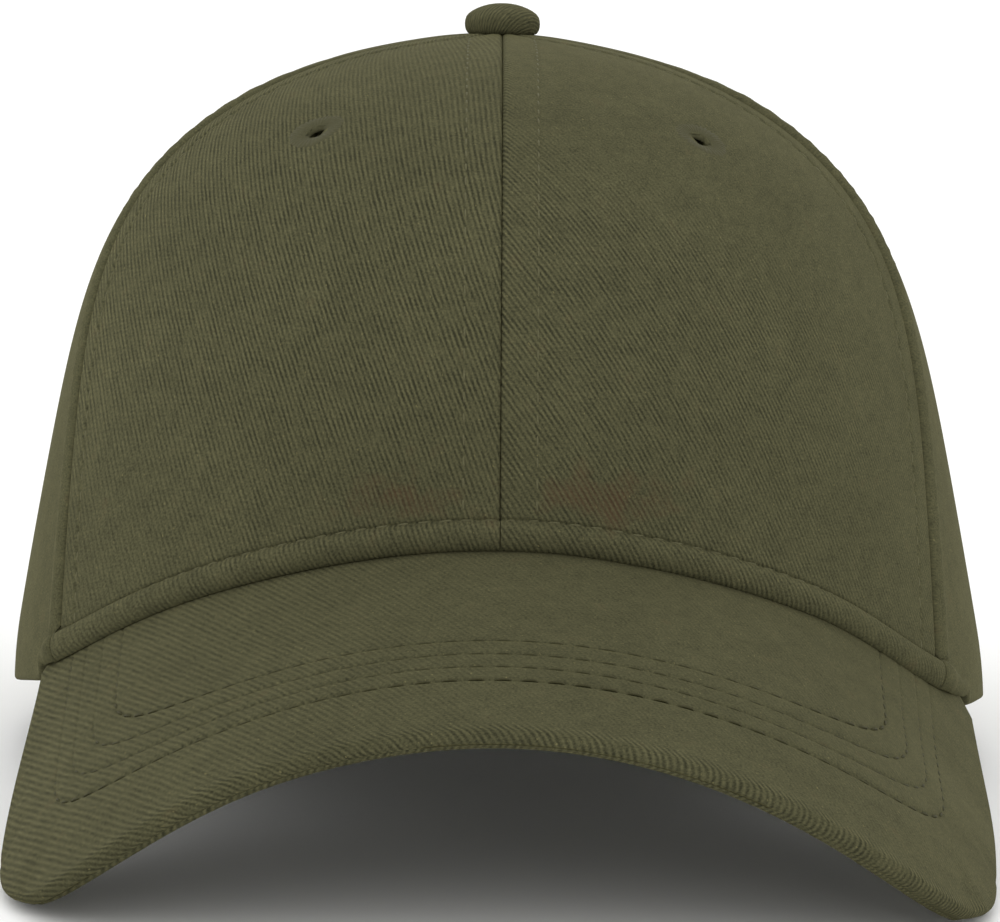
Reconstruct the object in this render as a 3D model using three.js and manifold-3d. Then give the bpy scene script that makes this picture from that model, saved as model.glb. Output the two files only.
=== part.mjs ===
// A six-panel cap: six crown panels, a curved peak, a covered button, six sewn eyelets, a sweatband and a
// closing strap across the back opening. It rests by itself on the two tips of its peak and on the back of
// its rim.

import * as THREE from "three";
import { mergeVertices } from "three/addons/utils/BufferGeometryUtils.js";
import Module from "manifold-3d";

const wasm = await Module();
wasm.setup();

// Driving dimensions, in millimetres and degrees. In the cap's own frame the rim lies about the plane z = 0,
// the peak points along -Y and +X is the right of the cap as seen from the front.
const GAP = 0.3;
const JOIN_GAP = 0.45;
const BAND_GAP = 0.6;
const PANEL_ANGLE = 60;

const crown = {
  halfWidth: 86,
  front: 103,
  back: 102,
  height: 117,
  planPower: 2.2,
  widthTaper: 0.164,
  lengthTaper: 0.05,
  heightPower: 6.47,
  reachPower: 0.623,
  lean: -0.018,
  wall: 1.6,
  topHole: 0.975,
};

// How far the plan goes from an oval (0) to a hexagon (1) between the rim and the dome.
const facet = { rim: 0.02, dome: 0.1, domeStart: 0.45 };

// The seam between a front and a side panel, as angles from the front. The back seams mirror it.
const seam = { rimAngle: 57.3, topAngle: 60, bow: 10.7 };

// The rim rides on the peak as far as the corner and falls back to level behind it.
const rim = { cornerAngle: 67, levelAngle: 112 };

// The turned hem above the rim, fuller over the peak than at the sides and back.
const hem = { height: 5.3, frontRoll: 0.9, sideRoll: 0.45, tuck: 0.6, fadeAngle: 50 };

const backOpening = { halfWidth: 42, height: 50, footAcross: 0.5 };

const peak = {
  slope: 18.57,
  radius: 89.4,
  easing: 0.092,
  easingWidth: 90,
  joinHeight: 32.8,
  length: 70,
  halfWidth: 96.3,
  tipAt: 24.5,
  cornerWidth: 91.1,
  cornerAt: -49.5,
  frontPull: 56.5,
  tipPull: 68.7,
  sidePull: 20,
  sideBow: 1,
  thickness: 4.4,
  joinThickness: 3.2,
  tuck: 3,
  tuckAngle: 65.5,
};

// The rounded edge of the peak: how far each of its rows lies inside the outline and below the top face,
// as a share of the thickness.
const peakEdge = [
  { inset: 0, share: 0.32 },
  { inset: 0.7, share: 0.08 },
  { inset: 2.2, share: 0 },
];

const sweatband = { wall: 1.2, height: 30, endAngle: 142 };
const strap = { wall: 2, height: 22, endAngle: 143.5 };

// The covered button: radius and height of each ring of its dome, and the shank through the crown.
const button = [
  { radius: 5.9, height: 0.3 },
  { radius: 6.5, height: 0.9 },
  { radius: 6.65, height: 1.7 },
  { radius: 6.3, height: 2.8 },
  { radius: 5.2, height: 3.8 },
  { radius: 3.2, height: 4.4 },
  { radius: 1.4, height: 4.6 },
];
const shank = { radius: 1.5, depth: 2.2 };

// Where each eyelet sits: the panel's number round the crown, the share across it and the height.
const eyelets = [
  { name: "eyelet_front_right", panel: 0, across: 0.558, height: 99.9 },
  { name: "eyelet_side_right", panel: 1, across: 0.5, height: 99.9 },
  { name: "eyelet_back_right", panel: 2, across: 0.5, height: 99.9 },
  { name: "eyelet_back_left", panel: 3, across: 0.5, height: 99.9 },
  { name: "eyelet_side_left", panel: 4, across: 0.5, height: 99.9 },
  { name: "eyelet_front_left", panel: 5, across: 0.497, height: 99.9 },
];

// The worked ring of an eyelet: a low collar on the outside of the crown and a barrel through it.
const eyeletHole = 1;
const eyeletBarrel = 1.5;
const eyeletSection = [
  { radius: eyeletHole, height: -crown.wall },
  { radius: eyeletBarrel, height: -crown.wall },
  { radius: eyeletBarrel, height: GAP },
  { radius: 4.5, height: GAP },
  { radius: 4, height: 0.68 },
  { radius: 2.75, height: 0.85 },
  { radius: 1.4, height: 0.63 },
  { radius: eyeletHole, height: 0 },
  { radius: eyeletHole, height: -crown.wall },
];

// The tilt at which the cap rests by itself, on the tips of the peak and the back of the rim.
const restTilt = 6.2;

const panelNames = [
  "front_panel_right",
  "side_panel_right",
  "back_panel_right",
  "back_panel_left",
  "side_panel_left",
  "front_panel_left",
];

// How finely the faceted solids are divided.
const divisions = {
  panelAcross: 14,
  panelUp: 9,
  peakAcross: 56,
  peakDeep: 8,
  peakCrowding: 1.5,
  peakSection: 24,
  band: 44,
  strap: 16,
  button: 20,
  eyelet: 14,
};
const hemRowShares = [0, 0.2, 0.5, 0.8, 1];
const bandRowShares = [0, 1 / 3, 2 / 3, 1];

const TURN = Math.PI / 180;
const SMALL_STEP = 0.01;
const SOLVING_TURNS = 16;

function smooth(value) {
  const share = Math.min(Math.max(value, 0), 1);
  return share * share * (3 - 2 * share);
}

function mix(from, to, share) {
  return from + (to - from) * share;
}

// How far up the dome a height lies: 0 at the rim, 1 at the top.
function domeShare(z) {
  return 1 - Math.sqrt(Math.max(1 - z / crown.height, 0));
}

// The angle of a numbered seam from the front, for the right half of the crown: 0 is the front centre seam
// and 3 the back centre seam.
function seamAngle(number, z) {
  const share = domeShare(z);
  const frontSide = mix(seam.rimAngle, seam.topAngle, share) + seam.bow * Math.sin(Math.PI * share);
  return [0, frontSide, 180 - frontSide, 180][number];
}

// The right half of the crown runs from u = 0 at the front to u = 3 at the back, one panel for each unit.
// The left half runs on to u = 6 and mirrors it.
function crownAngle(u, z) {
  const half = u > 3 ? 6 - u : u;
  const panel = Math.min(Math.max(Math.floor(half), 0), 2);
  const angle = mix(seamAngle(panel, z), seamAngle(panel + 1, z), half - panel);
  return (u > 3 ? 360 - angle : angle) * TURN;
}

// How much fuller than an ellipse the plan is at an angle.
function planFullness(angle) {
  const power = crown.planPower;
  return (Math.abs(Math.sin(angle)) ** power + Math.abs(Math.cos(angle)) ** power) ** (-1 / power);
}

// A point of the crown's outer face. The reach falls off as a rounded dome and the plan is pulled in a little
// between the seams.
function crownPoint(u, z) {
  const angle = crownAngle(u, z);
  const dome = Math.max(1 - (z / crown.height) ** crown.heightPower, 0) ** crown.reachPower;
  const fallOff = dome * planFullness(angle);
  const side = (crown.halfWidth - crown.widthTaper * z) * fallOff;
  const length = (Math.cos(angle) > 0 ? crown.front : crown.back) - crown.lengthTaper * z;
  const flatness = mix(facet.rim, facet.dome, smooth(domeShare(z) / facet.domeStart));
  const fromMiddle = (u - Math.floor(u) - 0.5) * PANEL_ANGLE * TURN;
  const pull = 1 - flatness * (1 - Math.cos((PANEL_ANGLE / 2) * TURN) / Math.cos(fromMiddle));
  return new THREE.Vector3(
    side * pull * Math.sin(angle) + crown.lean * z,
    -length * fallOff * pull * Math.cos(angle),
    z,
  );
}

// The outward normal of the crown's outer face.
function crownNormal(u, z) {
  const low = Math.max(Math.min(z, crown.height - 2 * SMALL_STEP), 0);
  const here = crownPoint(u, low);
  const across = crownPoint(u + SMALL_STEP / 10, low).sub(here);
  const up = crownPoint(u, low + SMALL_STEP).sub(here);
  return across.cross(up).normalize();
}

// A point inside the crown, a depth below its outer face. A negative depth stands proud.
function crownInside(u, z, depth) {
  return crownPoint(u, z).addScaledVector(crownNormal(u, z), -depth);
}

// How far the peak has turned down at a width measured along its face. The bend eases off towards its sides.
function peakBend(width) {
  return (width / peak.radius) * (1 - peak.easing * (width / peak.easingWidth) ** 2);
}

// The cross-section of the peak, as the angle, reach and drop at a width measured along its face.
function peakSection(width) {
  const section = { angle: peakBend(Math.abs(width)), reach: 0, drop: 0 };
  const stride = Math.abs(width) / divisions.peakSection;
  for (let step = 0; step < divisions.peakSection; step += 1) {
    const angle = peakBend((step + 0.5) * stride);
    section.reach += Math.cos(angle) * stride;
    section.drop += Math.sin(angle) * stride;
  }
  return section;
}

const joinY = crownPoint(0, peak.joinHeight).y;

// A point of the peak's plate, from a width across its face, a length forward of the crown and a depth below
// its top face.
function peakPoint(width, length, depth) {
  const { angle, reach, drop } = peakSection(width);
  const side = Math.sign(width);
  const x = side * (reach - depth * Math.sin(angle));
  const fall = drop + depth * Math.cos(angle);
  const slope = peak.slope * TURN;
  return new THREE.Vector3(
    x,
    joinY - length * Math.cos(slope) + fall * Math.sin(slope),
    peak.joinHeight - length * Math.sin(slope) - fall * Math.cos(slope),
  );
}

// The width along the peak's face that reaches a given x, found by stepping towards it.
function peakWidthAt(x) {
  let width = Math.abs(x);
  for (let turn = 0; turn < SOLVING_TURNS; turn += 1) {
    const { angle, reach } = peakSection(width);
    width += (Math.abs(x) - reach) / Math.cos(angle);
  }
  return width;
}

// The place on the peak's face above or below a plan point, as its width, length and height.
function peakUnder(x, y) {
  const width = peakWidthAt(x);
  const { drop, angle } = peakSection(width);
  const slope = peak.slope * TURN;
  const length = (joinY - y + drop * Math.sin(slope)) / Math.cos(slope);
  const z = peak.joinHeight - length * Math.sin(slope) - drop * Math.cos(slope);
  return { width: Math.sign(x) * width, length, z, rise: Math.cos(angle) * Math.cos(slope) };
}

// The height at which a face of the crown, a depth inside its outer one, meets the peak.
function joinHeight(u, depth) {
  let z = peak.joinHeight / 2;
  for (let turn = 0; turn < SOLVING_TURNS; turn += 1) {
    const point = crownInside(u, z, depth);
    const under = peakUnder(point.x, point.y);
    z += (under.z + JOIN_GAP / under.rise - point.z) / 2;
  }
  return z;
}

// The u at which the right half of the rim reaches an angle from the front.
function rimPosition(angle) {
  const panel = angle < seam.rimAngle ? 0 : angle < 180 - seam.rimAngle ? 1 : 2;
  const from = seamAngle(panel, 0);
  return panel + (angle - from) / (seamAngle(panel + 1, 0) - from);
}

// The height of the rim: on the peak in front, and easing down to level behind its corners.
function rimHeight(u, depth) {
  const turned = crownAngle(u, 0) / TURN;
  const angle = Math.min(turned, 360 - turned);
  if (angle >= rim.levelAngle) {
    return 0;
  }
  if (angle <= rim.cornerAngle) {
    return joinHeight(u, depth);
  }
  const corner = rimPosition(rim.cornerAngle);
  const share = (angle - rim.cornerAngle) / (rim.levelAngle - rim.cornerAngle);
  return joinHeight(u > 3 ? 6 - corner : corner, depth) * (1 - share) ** 2;
}

// A closed shell between two grids of points of the same size, the first of which is the outward face.
function shell(outer, inner) {
  const columns = outer.length;
  const rows = outer[0].length;
  const positions = [];
  for (const grid of [outer, inner]) {
    for (const column of grid) {
      for (const point of column) {
        positions.push(point.x, point.y, point.z);
      }
    }
  }
  const index = [];
  const at = (layer, i, j) => (layer * columns + i) * rows + j;
  const quad = (a, b, c, d) => index.push(a, b, c, a, c, d);
  for (let i = 0; i < columns - 1; i += 1) {
    for (let j = 0; j < rows - 1; j += 1) {
      quad(at(0, i, j), at(0, i + 1, j), at(0, i + 1, j + 1), at(0, i, j + 1));
      quad(at(1, i, j), at(1, i, j + 1), at(1, i + 1, j + 1), at(1, i + 1, j));
    }
    quad(at(1, i, 0), at(1, i + 1, 0), at(0, i + 1, 0), at(0, i, 0));
    quad(at(0, i, rows - 1), at(0, i + 1, rows - 1), at(1, i + 1, rows - 1), at(1, i, rows - 1));
  }
  for (let j = 0; j < rows - 1; j += 1) {
    quad(at(0, 0, j), at(0, 0, j + 1), at(1, 0, j + 1), at(1, 0, j));
    quad(at(1, columns - 1, j), at(1, columns - 1, j + 1), at(0, columns - 1, j + 1), at(0, columns - 1, j));
  }
  const geometry = new THREE.BufferGeometry();
  geometry.setAttribute("position", new THREE.Float32BufferAttribute(positions, 3));
  geometry.setIndex(index);
  return geometry;
}

function toSolid(geometry) {
  const bare = geometry.clone();
  bare.deleteAttribute("normal");
  bare.deleteAttribute("uv");
  const merged = mergeVertices(bare, 1e-4);
  return new wasm.Manifold(new wasm.Mesh({
    numProp: 3,
    vertProperties: new Float32Array(merged.attributes.position.array),
    triVerts: new Uint32Array(merged.index.array),
  }));
}

function toGeometry(solid) {
  const mesh = solid.getMesh();
  const geometry = new THREE.BufferGeometry();
  geometry.setAttribute("position", new THREE.Float32BufferAttribute(mesh.vertProperties, 3));
  geometry.setIndex(new THREE.Uint32BufferAttribute(mesh.triVerts, 1));
  return geometry;
}

// The outline of the right half of the peak on its flat face, from the middle of the front to the corner.
function peakOutline() {
  const { length, halfWidth, tipAt, cornerWidth, cornerAt } = peak;
  const outline = new THREE.CurvePath();
  outline.add(new THREE.CubicBezierCurve(
    new THREE.Vector2(0, length),
    new THREE.Vector2(peak.frontPull, length),
    new THREE.Vector2(halfWidth, peak.tipPull),
    new THREE.Vector2(halfWidth, tipAt),
  ));
  outline.add(new THREE.CubicBezierCurve(
    new THREE.Vector2(halfWidth, tipAt),
    new THREE.Vector2(halfWidth, tipAt - peak.sidePull),
    new THREE.Vector2(cornerWidth + peak.sideBow, cornerAt + peak.sidePull),
    new THREE.Vector2(cornerWidth, cornerAt),
  ));
  return outline;
}

// One face of the peak from its edge, whose rows are given, back to where it is tucked under the crown.
function peakFace(isTop) {
  const outline = peakOutline();
  const cornerPosition = rimPosition(peak.tuckAngle);
  const columns = [];
  for (let i = 0; i <= divisions.peakAcross; i += 1) {
    const across = (2 * i) / divisions.peakAcross - 1;
    const side = Math.sign(across) || 1;
    const edge = outline.getPointAt(Math.abs(across));
    const u = side > 0 ? across * cornerPosition : 6 + across * cornerPosition;
    const inside = crownInside(u, rimHeight(u, peak.tuck), peak.tuck);
    const tucked = peakUnder(inside.x, inside.y);
    const inner = new THREE.Vector2(Math.abs(tucked.width), tucked.length);
    const span = edge.distanceTo(inner);
    const rows = peakEdge.map((row) => ({ share: row.inset / span, below: row.share }));
    const start = rows[rows.length - 1].share;
    for (let row = 1; row <= divisions.peakDeep; row += 1) {
      const left = (1 - row / divisions.peakDeep) ** divisions.peakCrowding;
      rows.push({ share: mix(start, 1, 1 - left), below: 0 });
    }
    columns.push(rows.map(({ share, below }) => {
      const spot = edge.clone().lerp(inner, share);
      const thickness = mix(peak.thickness, peak.joinThickness, share);
      return peakPoint(side * spot.x, spot.y, thickness * (isTop ? below : 1 - below));
    }));
  }
  return columns;
}

// The direction away from the surface that the cap rests on, and the height at which the tips of the peak
// meet that surface.
const upright = new THREE.Vector3(0, -Math.sin(restTilt * TURN), Math.cos(restTilt * TURN));
const peakSolid = shell(peakFace(true), peakFace(false));
const restHeight = -lowestAlong(peakSolid, upright);

function lowestAlong(geometry, direction) {
  const places = geometry.attributes.position;
  const point = new THREE.Vector3();
  let lowest = Infinity;
  for (let i = 0; i < places.count; i += 1) {
    lowest = Math.min(lowest, point.fromBufferAttribute(places, i).dot(direction));
  }
  return lowest;
}

// Cloth that would go below the surface is pressed flat on it.
function settle(point) {
  const height = point.dot(upright) + restHeight;
  return height < 0 ? point.addScaledVector(upright, -height) : point;
}

// The angle from the back at which the crown reaches a distance to the side.
function angleFromBack(reach, z) {
  let angle = 0;
  for (let turn = 0; turn < SOLVING_TURNS; turn += 1) {
    angle = Math.asin(reach / ((crown.halfWidth - crown.widthTaper * z) * planFullness(angle)));
  }
  return angle / TURN;
}

// The lower edge of a panel at a share across it: the rim, or in a back panel the half-moon of the opening.
function panelFoot(panel, across, depth) {
  const fromBackSeam = panel === 2 ? 1 - across : across;
  const isBack = panel === 2 || panel === 3;
  if (!isBack) {
    const u = panel + across;
    return { u, z: rimHeight(u, depth) };
  }
  const footFromSeam = angleFromBack(backOpening.halfWidth, 0) / seam.rimAngle;
  const side = panel === 2 ? -1 : 1;
  if (fromBackSeam >= backOpening.footAcross) {
    const share = (fromBackSeam - backOpening.footAcross) / (1 - backOpening.footAcross);
    const u = 3 + side * mix(footFromSeam, 1, share);
    return { u, z: rimHeight(u, depth) };
  }
  const turn = (fromBackSeam / backOpening.footAcross) * 90 * TURN;
  const z = backOpening.height * Math.cos(turn);
  const angle = angleFromBack(backOpening.halfWidth * Math.sin(turn), z);
  return { u: 3 + (side * angle) / seamAngle(1, z), z };
}

// The rows up a panel: close together through the hem, then evenly up the dome to the hole under the button.
function panelRows(footHeight) {
  const span = crown.height - footHeight;
  const hemRows = hemRowShares.map((share) => 1 - Math.sqrt(1 - (share * hem.height) / span));
  const start = hemRows[hemRows.length - 1];
  const domeRows = [];
  for (let row = 1; row <= divisions.panelUp; row += 1) {
    domeRows.push(mix(start, crown.topHole, row / divisions.panelUp));
  }
  return [...hemRows, ...domeRows];
}

// How far the turned hem stands proud at a height above the edge.
function hemRoll(aboveEdge, u, z) {
  if (aboveEdge > hem.height) {
    return 0;
  }
  const turned = crownAngle(u, z) / TURN;
  const angle = Math.min(turned, 360 - turned);
  const full = mix(hem.sideRoll, hem.frontRoll, smooth((rim.levelAngle - angle) / hem.fadeAngle));
  return full * Math.sin((Math.PI * (aboveEdge + hem.tuck)) / (hem.height + hem.tuck));
}

// One face of a panel, a depth inside the crown's outer face, with half a gap left to the next panel.
function panelFace(panel, depth, isOuter) {
  const columns = [];
  for (let i = 0; i <= divisions.panelAcross; i += 1) {
    const across = i / divisions.panelAcross;
    const foot = panelFoot(panel, across, depth);
    const edge = i === 0 ? 1 : i === divisions.panelAcross ? -1 : 0;
    columns.push(panelRows(foot.z).map((share) => {
      const z = crown.height - (crown.height - foot.z) * (1 - share) ** 2;
      const u = mix(foot.u, panel + across, smooth(share));
      const stand = isOuter ? hemRoll(z - foot.z, u, z) : 0;
      const point = crownInside(u, z, depth - stand);
      const along = crownPoint(u + SMALL_STEP * (edge || 1), z).sub(crownPoint(u, z)).normalize();
      return settle(point.addScaledVector(along, Math.abs(edge) * GAP / 2));
    }));
  }
  return columns;
}

// A panel, with the holes of its eyelets cut through.
function panelGeometry(panel) {
  let solid = toSolid(shell(panelFace(panel, 0, true), panelFace(panel, crown.wall, false)));
  for (const eyelet of eyelets.filter((row) => row.panel === panel)) {
    const cutter = { radius: eyeletBarrel + GAP, length: 6 * crown.wall };
    const drill = new THREE.CylinderGeometry(cutter.radius, cutter.radius, cutter.length, divisions.eyelet);
    drill.applyMatrix4(eyeletFrame(eyelet));
    solid = solid.subtract(toSolid(drill));
  }
  return toGeometry(solid);
}

// The place of an eyelet: its axis, which is Y in its own frame, stands square on the crown's outer face.
function eyeletFrame(eyelet) {
  const u = eyelet.panel + eyelet.across;
  const normal = crownNormal(u, eyelet.height);
  const turn = new THREE.Quaternion().setFromUnitVectors(new THREE.Vector3(0, 1, 0), normal);
  return new THREE.Matrix4().compose(crownPoint(u, eyelet.height), turn, new THREE.Vector3(1, 1, 1));
}

function eyeletGeometry() {
  const outline = eyeletSection.map((turn) => new THREE.Vector2(turn.radius, turn.height));
  return new THREE.LatheGeometry(outline, divisions.eyelet);
}

function buttonGeometry() {
  const outline = [new THREE.Vector2(0, -shank.depth), new THREE.Vector2(shank.radius, -shank.depth)];
  outline.push(new THREE.Vector2(shank.radius, GAP));
  for (const ring of button) {
    outline.push(new THREE.Vector2(ring.radius, ring.height));
  }
  outline.push(new THREE.Vector2(0, button[button.length - 1].height));
  return new THREE.LatheGeometry(outline, divisions.button);
}

// A band inside the crown between two angles, from the rim up to a height above it.
function bandFace(band, depth, angles, parts) {
  const columns = [];
  for (let i = 0; i <= parts; i += 1) {
    const angle = mix(angles.from, angles.to, i / parts);
    const half = rimPosition(angle > 180 ? 360 - angle : Math.abs(angle));
    const u = angle < 0 || angle > 180 ? 6 - half : half;
    const low = rimHeight(u, depth);
    columns.push(bandRowShares.map((share) => settle(crownInside(u, low + share * band.height, depth))));
  }
  return columns;
}

function bandGeometry(band, angles, parts) {
  const depth = crown.wall + BAND_GAP;
  return shell(bandFace(band, depth, angles, parts), bandFace(band, depth + band.wall, angles, parts));
}

const cloth = { color: 0x555439, roughness: 0.95, metalness: 0 };
const thread = { ...cloth, color: 0x4c4b33 };
const liningCloth = { ...cloth, color: 0x4a4932 };

const cap = new THREE.Group();
cap.rotation.x = -restTilt * TURN;
cap.position.z = restHeight;

function addPiece(name, geometry, look = cloth) {
  const mesh = new THREE.Mesh(geometry, new THREE.MeshStandardMaterial(look));
  mesh.name = name;
  cap.add(mesh);
  return mesh;
}

panelNames.forEach((name, panel) => addPiece(name, panelGeometry(panel)));
addPiece("peak", peakSolid);

const top = addPiece("button", buttonGeometry());
top.rotation.x = Math.PI / 2;
top.position.set(crown.lean * crown.height, 0, crown.height);

for (const eyelet of eyelets) {
  addPiece(eyelet.name, eyeletGeometry(), thread).applyMatrix4(eyeletFrame(eyelet));
}

const bandAngles = { from: -sweatband.endAngle, to: sweatband.endAngle };
addPiece("sweatband", bandGeometry(sweatband, bandAngles, divisions.band), liningCloth);

const strapAngles = { from: strap.endAngle, to: 360 - strap.endAngle };
addPiece("back_strap", bandGeometry(strap, strapAngles, divisions.strap));

// The origin lies under the middle of the whole cap, on the surface that it rests on.
const middle = new THREE.Box3().setFromObject(cap, true).getCenter(new THREE.Vector3());
cap.position.x = -middle.x;
cap.position.y = -middle.y;

const part = new THREE.Group();
part.add(cap);

export default part;
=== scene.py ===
"""A six-panel cap in olive brushed twill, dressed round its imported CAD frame.

Six sewn crown panels with a rolled hem, a curved peak with four rows of stitching, a covered button, six
worked eyelets, a sweatband and a closing strap. Every shape is worked out in millimetres in the cap's own
frame, where the rim lies about the plane z = 0 and the peak points along -Y, and is then tilted on to the
surface that the cap rests on. Left and right are the viewer's, who looks at the peak.
"""

import logging
import math
from dataclasses import dataclass
from enum import Enum

import bpy
import numpy as np
from mathutils import Matrix, Vector


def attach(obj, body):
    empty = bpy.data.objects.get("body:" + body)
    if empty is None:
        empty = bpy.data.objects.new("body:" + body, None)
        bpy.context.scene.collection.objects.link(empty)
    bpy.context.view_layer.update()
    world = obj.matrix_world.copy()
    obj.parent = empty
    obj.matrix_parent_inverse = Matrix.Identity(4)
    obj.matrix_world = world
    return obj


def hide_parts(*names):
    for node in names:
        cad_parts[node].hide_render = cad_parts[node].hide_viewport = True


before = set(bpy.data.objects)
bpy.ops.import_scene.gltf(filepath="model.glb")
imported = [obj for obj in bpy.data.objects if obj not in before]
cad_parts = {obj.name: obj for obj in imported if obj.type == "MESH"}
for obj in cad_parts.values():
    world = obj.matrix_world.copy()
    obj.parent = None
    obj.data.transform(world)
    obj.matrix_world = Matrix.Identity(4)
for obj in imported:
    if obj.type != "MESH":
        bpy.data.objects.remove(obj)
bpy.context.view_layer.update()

LOG = logging.getLogger("cap")
MM = 0.001
TURN = math.pi / 180
TINY = 1e-12
SOLVE_ROUNDS = 16
CURVE_STEPS = 400
CLOTH_MAP = "cloth"
NAP_FIELD = "nap"
STAIN_FIELD = "stain"
Array = np.ndarray
Pair = tuple[Array, Array]
Material = bpy.types.Material
Socket = bpy.types.NodeSocket
Feed = Socket | float | tuple[float, ...]


class Slot(Enum):
    """The record's material slots."""

    CROWN = "crown_twill"
    PEAK = "peak_twill"
    THREAD = "eyelet_thread"
    BAND = "sweatband_twill"


# Small helpers


def smooth(value: Array) -> Array:
    """Eases a value from 0 to 1, as 3s^2 - 2s^3 of the value s held between 0 and 1."""
    share = np.clip(value, 0.0, 1.0)
    return share * share * (3 - 2 * share)


def bell(offset: Array, reach: float) -> Array:
    """A bell-shaped curve: exp(-(offset / reach)^2)."""
    return np.exp(-(offset / reach) ** 2)


def mix(start: Array, end: Array, share: Array) -> Array:
    """Goes straight from start to end as share goes from 0 to 1."""
    return start + (end - start) * share


def unit(vectors: Array) -> Array:
    """Gives vectors along the last axis a length of 1."""
    return vectors / np.maximum(np.linalg.norm(vectors, axis=-1, keepdims=True), TINY)


def lengths_along(path: Array) -> Array:
    """The length run along a path, from its first point to each of its points."""
    return np.concatenate([[0], np.cumsum(np.linalg.norm(np.diff(path, axis=0), axis=1))])


def linear(colour: str) -> tuple[float, float, float, float]:
    """Turns an sRGB hex colour into linear light.

    Args:
        colour: Six hex digits.

    Returns:
        Red, green, blue and an alpha of 1.
    """
    shares = [int(colour[i:i + 2], 16) / 255 for i in (0, 2, 4)]
    light = [s / 12.92 if s <= 0.04045 else ((s + 0.055) / 1.055) ** 2.4 for s in shares]
    return (light[0], light[1], light[2], 1.0)


def add_node(
    tree: bpy.types.NodeTree, kind: str, inputs: dict[str | int, Feed] | None = None, **settings: str,
) -> bpy.types.Node:
    """Adds one shader node with its settings, values and links.

    Args:
        tree: The node tree.
        kind: The node's type name without its ShaderNode prefix.
        inputs: For each input, by name or number, a value or the socket that feeds it.
        settings: The node's own properties.

    Returns:
        The new node.
    """
    node = tree.nodes.new("ShaderNode" + kind)
    for name, value in settings.items():
        setattr(node, name, value)
    for key, value in (inputs or {}).items():
        if isinstance(value, Socket):
            tree.links.new(value, node.inputs[key])
        else:
            node.inputs[key].default_value = value
    return node


# The shape of the cap


@dataclass(frozen=True)
class Rest:
    """How the cap rests by itself, on the tips of its peak and the back of its rim.

    The cap's own frame is turned about X by the tilt and then moved so that the origin lies on the surface,
    under the middle of the cap.
    """

    tilt: float = 6.2
    shift: tuple[float, float, float] = (0.0674, 30.3619, 9.3752)

    def turned(self, vectors: Array) -> Array:
        """Turns vectors from the cap's frame into the part's frame.

        Args:
            vectors: An array whose last axis is x, y, z.

        Returns:
            The turned vectors.
        """
        cos, sin = math.cos(self.tilt * TURN), math.sin(self.tilt * TURN)
        x, y, z = np.moveaxis(np.asarray(vectors, float), -1, 0)
        return np.stack([x, y * cos + z * sin, z * cos - y * sin], -1)

    def placed(self, points: Array) -> Array:
        """Puts points of the cap's frame in the part's, in metres, pressed flat where they meet the floor.

        Args:
            points: Points in millimetres, last axis x, y, z.

        Returns:
            Points in metres.
        """
        part = self.turned(points) + np.array(self.shift)
        part[..., 2] = np.maximum(part[..., 2], 0.0)
        return part * MM


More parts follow.
